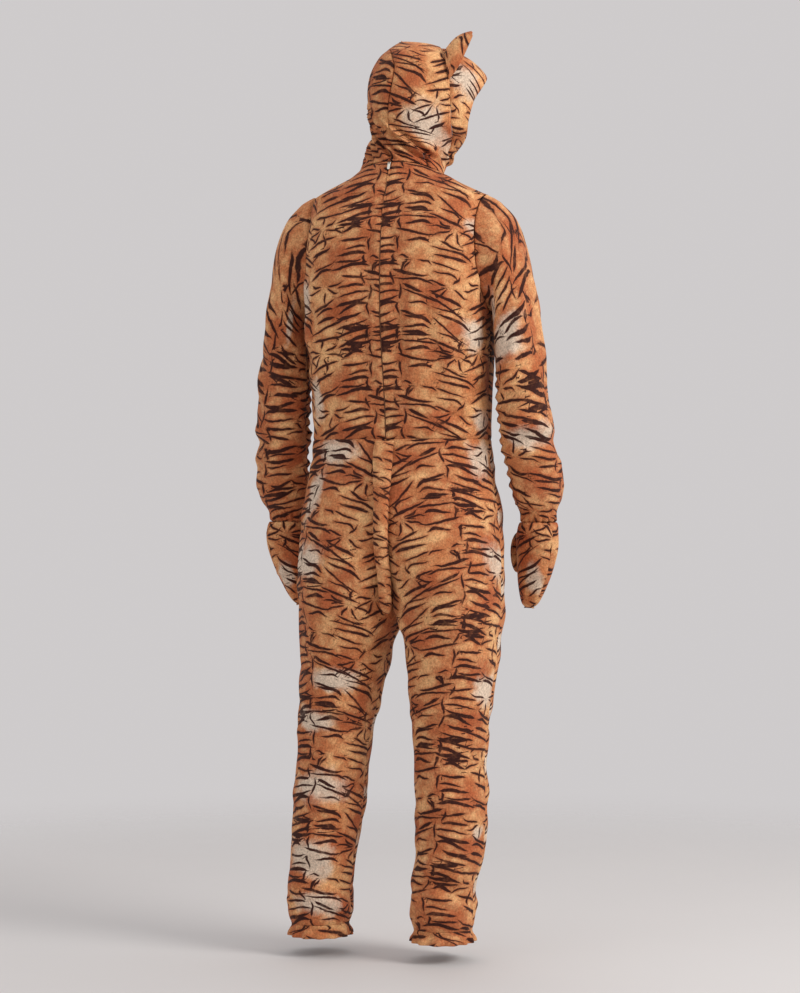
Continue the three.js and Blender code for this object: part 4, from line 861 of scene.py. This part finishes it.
def legRadius(turn, halfWidth, deepBack, deepFront, power):
    depth = np.where(np.sin(turn) > 0, deepBack, deepFront)
    return sectionRadius(np.cos(turn), np.sin(turn), halfWidth, depth, power)


def legRing(side, out, setBack, radius, turn, height):
    x, y = side * (out + radius * np.cos(turn)), setBack + radius * np.sin(turn)
    return np.stack([x, y, height + 0 * radius], -1)


def makeLegPanel(side, hand, atBack):
    # half of the leg's section from the outer seam round to the inner seam, or above the crotch to the
    # centre seam, with the main folds added to its radius
    height = mix(legs["hemTop"], bodice["waist"], seamSteps(legs["rows"]))[:, None]
    halfWidth, deepBack, deepFront, power, out, setBack = legSize(side, height)
    deep = (deepBack if atBack else deepFront) * sectionReach(np.minimum(1, out / halfWidth), power)
    reach = np.where(height > legs["crotch"], np.arctan2(deep, -out), np.pi)
    turn = (1 if atBack else -1) * reach * seamSteps(legs["columns"])[None]
    radius = legRadius(turn, halfWidth, deepBack, deepFront, power)
    mean = (halfWidth + deepBack) / 2
    for foldHeight, foldAngle, lean, length, width, rise in legs["folds"][hand]:
        around = np.radians(offset(np.degrees(turn), foldAngle, 360)) * mean
        radius = radius + rise * bell(around, height - foldHeight, lean, length, width)
    points = legRing(side, out, setBack, radius, turn, height)
    points[-1, :, 2] += seam["overlap"]
    makeCloth("leg_" + ("back_" if atBack else "front_") + hand, points, {
        "creases": legs["creases"], "slack": 1.7, "phase": 0.7 * side + (0 if atBack else 2),
        "printX": legs["printX"][hand], "printY": legs["printY"][hand] + (0 if atBack else legs["frontShift"]),
        "spots": 0.0 if atBack else 1.0, "patches": legs["patches"][hand] if atBack else [],
        "turned": ("top",), "dips": {"top": 0.7, "bottom": 0.8},
        "from": ["bodice_back_" + hand if atBack else "bodice_front"]},
        core=np.stack([side * out, setBack, height], -1))


def makeHem(side, hand):
    # a short flared ring whose radius runs in uneven waves
    top, low = legs["hemTop"], hem["low"]
    height = mix(top - hem["gap"], low, np.linspace(0, 1, hem["rows"]))[:, None]
    turn = 2 * np.pi * np.linspace(0, 1, 14 * hem["waves"] + 1)[None]
    halfWidth, deepBack, deepFront, power, out, setBack = legSize(side, np.full((1, 1), top))
    radius = legRadius(turn, halfWidth, deepBack, deepFront, power)
    down = (top - height) / (top - low)
    pinch = -hem["pinch"] * np.sin(np.pi * np.clip(down * 1.3, 0, 1))
    grow = mix(pinch, hem["flare"], smooth(down * 1.1 - 0.1))
    wave = hem["waveSize"] * smooth(down) * np.sin(turn * hem["waves"] + 0.5 * np.sin(3 * turn + side))
    points = legRing(side, out, setBack, radius + grow + wave, turn, height)
    makeCloth("hem_" + hand, points, {
        "slack": 0.2, "printX": 30, "printY": 200, "held": "gathered", "from": ["leg_back_" + hand],
        "dips": {"top": 0, "left": 0, "right": 0, "bottom": 0.5}},
        core=np.stack([side * out + 0 * height, setBack + 0 * height, height], -1))


for side, hand in hands:
    makeLegPanel(side, hand, True)
    makeLegPanel(side, hand, False)
    makeHem(side, hand)
print("legs done")

# tail
tail = {
    "seat": 0.5, "free": 775, "rows": 90, "columns": 37, "lumps": 0.035, "seamDepth": 0.1, "seamWidth": 0.18,
    "tip": 2.5, "fill": 0.5, "printX": 40, "printY": 100, "rust": 0.3,
    "table": [  # height, half width, half depth, shift
        [1040, 21, 4, 0], [1020, 21, 7, 1], [985, 19.5, 9, 0], [945, 17.5, 10.5, -1], [905, 16, 11.5, -1],
        [865, 15, 12.5, 0], [825, 14.5, 13, 1], [785, 14, 13, 1], [750, 13.5, 13, 0], [725, 12.5, 12, -1],
        [707, 9.5, 9, -1], [699, 5, 5, -1],
    ],
}


def tailMiddle(height, halfWidth, halfDepth):
    # far enough back for the round section to clear the seat on both sides
    share = np.linspace(0, 1, 9)[None]
    wide, deepBack, deepFront, power, out, setBack = legSize(1, np.maximum(height, tail["free"]))
    part = np.minimum(1, np.abs((out - halfWidth * share) / wide))
    seat = setBack + deepBack * sectionReach(part, power)
    return (seat + halfDepth * np.sqrt(1 - share ** 2)).max(axis=1, keepdims=True) + tail["seat"]


def makeTail():
    # oval rings down a line behind the seat, slightly lumpy, with a seam that draws in along the front
    height = mix(tail["table"][0][0], tail["table"][-1][0], seamSteps(tail["rows"]))[:, None]
    halfWidth, halfDepth, shift = readTable(tail["table"], height)
    turn = 2 * np.pi * np.linspace(0, 1, tail["columns"])[None]
    lumps = 1 + tail["lumps"] * np.sin(height / 13 + 2 * turn) * np.sin(height / 31)
    drawn = lumps * (1 - tail["seamDepth"] * np.exp(-((turn - np.pi) / tail["seamWidth"]) ** 2))
    x = shift + halfWidth * drawn * np.cos(turn)
    y = tailMiddle(height, halfWidth, halfDepth) + halfDepth * drawn * np.sin(turn)
    points = np.stack([x, y, height + 0 * x], -1)
    ends = [points[:1].mean(axis=1, keepdims=True), points[-1:].mean(axis=1, keepdims=True)]
    ends[1][..., 2] -= tail["tip"]
    caps = [end + 0 * points[:1] for end in ends]
    points = np.concatenate([caps[0], points, caps[1]])
    normal, sign = gridNormals(points, points.mean(axis=1, keepdims=True))
    across, up = rowLengths(points), -points[..., 2]
    flat = 0 * across
    fields = printFields(tail["printX"] + across, tail["printY"] - up, flat, tail["rust"] + flat)
    mesh = makeMesh("tail_plush", points, sign, fields, np.stack([across, up], -1))
    form = bmesh.new()
    form.from_mesh(mesh)
    bmesh.ops.remove_doubles(form, verts=form.verts, dist=1e-5)
    bmesh.ops.recalc_face_normals(form, faces=form.faces)
    form.to_mesh(mesh)
    form.free()
    made = addObject("tail_plush", mesh, plush)
    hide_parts("tail")


makeTail()

# hood: forward, aside and rise are measured from the middle of the hood
hood = {
    "yaw": 52, "centreX": -22, "centreY": 5, "height": 1740, "low": -143, "twist": 83, "blend": 48, "sink": 10,
    "backAngle": 58, "seamAngle": 118, "faceAngle": 171, "bend": 0.62, "backRow": 13, "neckGap": 0.5,
    "sideRows": 84, "sideColumns": 56, "backRows": 74, "backColumns": 46, "frontRows": 150, "frontColumns": 26,
    "table": [  # rise, half width, back, front, seam forward, angle of the back panel
        [-143, 88, 74, 86, 50, 58], [-128, 81, 68, 96, 52, 56], [-114, 76, 65, 104, 53, 50],
        [-100, 75, 66, 110, 54, 42], [-85, 76, 70, 116, 55, 33], [-66, 80, 77, 124, 55, 31],
        [-45, 83, 83, 132, 54, 34], [-20, 87, 88, 142, 51, 38], [5, 88, 89, 150, 49, 42],
        [30, 87, 86, 152, 48, 44], [50, 83, 79, 140, 47, 42], [66, 76, 70, 126, 47, 34],
        [80, 65, 58, 112, 48, 22], [91, 51, 45, 100, 50, 0.5], [99, 34, 34, 90, 54, 0],
        [104, 17, 27, 82, 59, 0], [106, 0, 23, 78, 63, 0],
    ],
    "face": [  # share, forward, half, rise
        [0, 80, 20, -143], [0.14, 86, 60, -122], [0.28, 90, 71, -95], [0.42, 95, 75, -58], [0.56, 106, 77, -18],
        [0.68, 122, 76, 6], [0.8, 138, 64, 26], [0.9, 149, 38, 38], [1, 153, 0, 42],
    ],
    "folds": {"proud": 7.0, "pitch": 3.8, "lean": 60, "low": -142, "high": -56, "drop": 46},
    "sideCreases": [[60, 60, 30, 50, 8, 3], [70, 90, 40, 50, 8, -3], [60, 170, 20, 50, 12, 2.5],
                    [90, 230, -20, 60, 12, 2]],
    "sidePrint": {
        "right": {"printX": 70, "patches": [[0.68, 0.3, 40, 46]]},
        "left": {"printX": 60, "spots": 1.0},
    },
}
hoodHands = ((1, "right"), (-1, "left"))  # aside is measured to the hood's own right


def hoodPoint(forward, aside, rise):
    # the hood's own forward and right turn with its yaw, which fades out down to the neck
    share = smooth((rise - hood["low"]) / hood["twist"])
    yaw = np.radians(hood["yaw"]) * share
    x = hood["centreX"] * share - forward * np.sin(yaw) - aside * np.cos(yaw)
    y = hood["centreY"] * share - forward * np.cos(yaw) + aside * np.sin(yaw)
    return np.stack(np.broadcast_arrays(x, y, hood["height"] + rise), -1)


def neckPoint(angle):
    point = bodicePoint(np.full(np.shape(angle), bodice["tip"]), 1, -angle)
    point[..., 2] += hood["neckGap"]
    return point


def blendNeck(point, angle, rise):
    share = smooth((rise - hood["low"]) / hood["blend"])
    return mix(neckPoint(angle + 0 * rise), point, (share + 0 * angle)[..., None])


def neckFolds(points):
    # rope-like folds round the neck, which slant with the turned hood
    folds = hood["folds"]
    rise = points[..., 2] - hood["height"]
    around = np.arctan2(-points[..., 0], points[..., 1])
    high = folds["high"] - folds["drop"] * np.clip(around, -1, 1.2)
    window = smooth((rise - folds["low"]) / 14) * smooth((high - rise) / 20)
    phase = (rise + folds["lean"] * around + 6 * np.sin(2 * around + 0.5)) / folds["pitch"]
    wave = np.cos(phase + 0.5 * np.cos(0.45 * phase)) * (1 + 0.35 * np.cos(0.4 * phase + 1))
    return folds["proud"] * window * wave


def hoodRise(index):
    rises = [row[0] for row in hood["table"]]
    return np.interp(index, np.arange(len(rises)), rises)


def hoodSide(side, share, rise):
    # round the hood from the back panel's edge to the widest place, then straight on to the front seam
    halfWidth, deepBack, deepFront, seamForward, angle = readTable(hood["table"], rise)
    start = np.radians(angle)
    turn = start + (np.pi / 2 - start) * np.minimum(share / hood["bend"], 1)
    ahead = seamForward * np.maximum(share - hood["bend"], 0) / (1 - hood["bend"])
    bent = share < hood["bend"]
    forward = np.where(bent, -deepBack * np.cos(turn), ahead)
    aside = np.where(bent, halfWidth * np.sin(turn), halfWidth * sectionReach(ahead / deepFront, 4))
    top, topForward = hood["table"][-1][0], hood["table"][-1][4]
    sunk = rise - hood["sink"] * np.maximum(0, rise / top) ** 2 * (np.maximum(0, forward) / topForward) ** 2
    angle = side * np.radians(mix(hood["backAngle"], hood["seamAngle"], share))
    return blendNeck(hoodPoint(forward, side * aside, sunk), angle, rise)


def makeHoodSides(core, thread):
    last = len(hood["table"]) - 1
    for side, hand in hoodHands:
        rise = hoodRise(last * seamSteps(hood["sideRows"]))[:, None]
        points = hoodSide(side, seamSteps(hood["sideColumns"])[None], rise)
        points[0, :, 2] -= seam["overlap"]
        laid, outward = makeCloth("hood_side_" + hand, points, {
            "creases": hood["sideCreases"], "slack": 0.7, "phase": side, "extra": neckFolds(points),
            "dips": {"bottom": 0.4, "right": 1.3}, "turned": ("bottom", "left"), "printY": 20,
            "from": ["bodice_back_" + hand], **hood["sidePrint"][hand]}, core=core)
        makeRow("hood_stitches_" + hand, laid[6:, -6], outward[6:, -6], trimRows["stitches"], thread)


def makeHoodBack(core):
    # a strip up the back of the hood, which narrows to a point near the crown
    rise = hoodRise(hood["backRow"] * seamSteps(hood["backRows"]))[:, None]
    share = 2 * seamSteps(hood["backColumns"])[None] - 1
    halfWidth, deepBack, deepFront, seamForward, angle = readTable(hood["table"], rise)
    turn = np.radians(angle) * share
    points = hoodPoint(-deepBack * np.cos(turn), halfWidth * np.sin(turn), rise)
    points = blendNeck(points, np.radians(hood["backAngle"]) * share, rise)
    points[0, :, 2] -= seam["overlap"]
    makeCloth("hood_back", points, {
        "slack": 0.6, "centre": 0.5, "extra": neckFolds(points), "printY": 40, "dips": {"bottom": 0.4},
        "turned": ("bottom", "left", "right"), "from": ["bodice_back_left", "bodice_back_right"]}, core=core)


def makeHoodFront():
    # a band over the crown from neck to neck, between the side pieces' front seam and the opening's edge;
    # k runs from -1 at the left of the neck over the crown to 1 at the right
    last = len(hood["table"]) - 1
    k = (2 * seamSteps(hood["frontRows"]) - 1)[:, None]
    index = last * (1 - np.abs(k))
    rise = hoodRise(index)
    side = np.where(k < 0, -1, 1)
    t = seamSteps(hood["frontColumns"])[None]
    seamLine = hoodSide(side, np.ones((1, 1)), rise)
    forward, half, edgeRise = readTable(hood["face"], (index / last) ** 0.9)
    atNeck = neckPoint(side * np.radians(hood["faceAngle"]))
    target = mix(atNeck, hoodPoint(forward, side * half, edgeRise), np.minimum(1, index)[..., None])
    out = unit((target + seamLine) / 2 - hoodPoint(20, 0, edgeRise * 0.5))
    swell = np.minimum(1, index) * (3 + 8 * smooth((index - 7) / 5))
    points = mix(seamLine, target, t[..., None]) + out * (swell * 4 * t * (1 - t))[..., None]
    makeCloth("hood_front", points, {
        "slack": 0.5, "extra": neckFolds(points), "printX": 105, "printY": 10, "dips": {"right": 0.8},
        "patches": [[0.5, 0.655, 38, 28]], "from": ["hood_side_left", "hood_side_right"]},
        core=hoodPoint(40, 0, np.minimum(20, rise)))


hoodCore = hoodPoint(10, 0, 0)
makeHoodSides(hoodCore, makeTrim("sewing_thread", (120, 62, 34), 0.7, 0.0, 900.0))
makeHoodBack(hoodCore)
makeHoodFront()

# ears
ear = {
    "lower": (45, 90, 14), "upper": (48, 60, 84), "tip": (90, 102, 112), "seat": 4, "crown": 6,
    "aside": 0.72, "up": 0.7, "rows": 26, "columns": 22,
    "table": [[0, 36, 9], [0.25, 36, 10], [0.5, 31, 9], [0.75, 20, 6], [1, 6, 1.2]],  # share, half width, cup
    "parts": {  # how far forward it stands, its scale, its share of cream
        "outer": (0, 1, 0.0), "inner": (2.7, 0.88, 0.25),
    },
}


def makeEar(side, hand, part):
    # a cupped leaf from the base line to the tip: base + up·share + across·place·half width, with its
    # middle set back by the cup
    lift, scale, cream = ear["parts"][part]
    lower, upper, tip = [hoodPoint(ahead, side * aside, rise) for ahead, aside, rise in
                         (ear["lower"], ear["upper"], ear["tip"])]
    base = (lower + upper) / 2
    length = np.linalg.norm(tip - base)
    up, across = unit(tip - base), unit(upper - lower)
    forward = side * unit(np.cross(across, up))
    outward = unit(hoodPoint(0, side * ear["aside"], ear["up"]) - hoodPoint(0, 0, 0))
    share = seamSteps(ear["rows"])[:, None]
    place = 2 * seamSteps(ear["columns"])[None] - 1
    halfWidth, cup = readTable(ear["table"], share)
    arch = 1 - place ** 2
    points = base + up * (length * share + 0 * place)[..., None]
    points = points + outward * ((ear["seat"] + ear["crown"] * arch) * (1 - share))[..., None]
    points = points + across * (place * halfWidth * scale)[..., None]
    points = points + forward * (lift - cup * arch)[..., None]
    makeCloth("ear_" + part + "_" + hand, points, {
        "slack": 0.2, "centre": 0.5, "printX": 40, "printY": 110, "held": "folded", "cream": cream,
        "dips": {"left": 0.3, "right": 0.3, "top": 0.1, "bottom": 0.1}, "from": ["hood_side_" + hand]},
        core=points.mean(axis=1, keepdims=True) + forward * 20)


for side, hand in hoodHands:
    for part in ear["parts"]:
        makeEar(side, hand, part)
print("hood and ears done")

# zip
zipParts = {
    "zip_tape": makeTrim("zip_weave", (96, 52, 28), 0.8, 0.0, 1400.0),
    "zip_slider": makeTrim("slider_enamel", (112, 66, 38), 0.4, 0.3, 500.0),
    "zip_crown": makeTrim("crown_enamel", (112, 66, 38), 0.4, 0.3, 500.0),
    "zip_pull": makeTrim("tab_moulding", (236, 232, 222), 0.45, 0.0, 600.0),
}


def makeTeeth():
    # the coil shows as a row of teeth in the gap between the two back edges
    height, slopes, turns = bodiceRows()
    path = bodicePoint(height[:, None], slopes[:, None], np.zeros((1, 1)))[1:-4, 0]
    along = np.gradient(path, axis=0)
    outward = np.stack([0 * path[:, 0], along[:, 2], -along[:, 1]], -1)
    makeRow("zip_coil", path, outward, trimRows["teeth"], zipParts["zip_slider"])


makeTeeth()
for name, material in zipParts.items():
    for part in bpy.data.objects[name].material_slots:
        part.material = material
print("zip done")
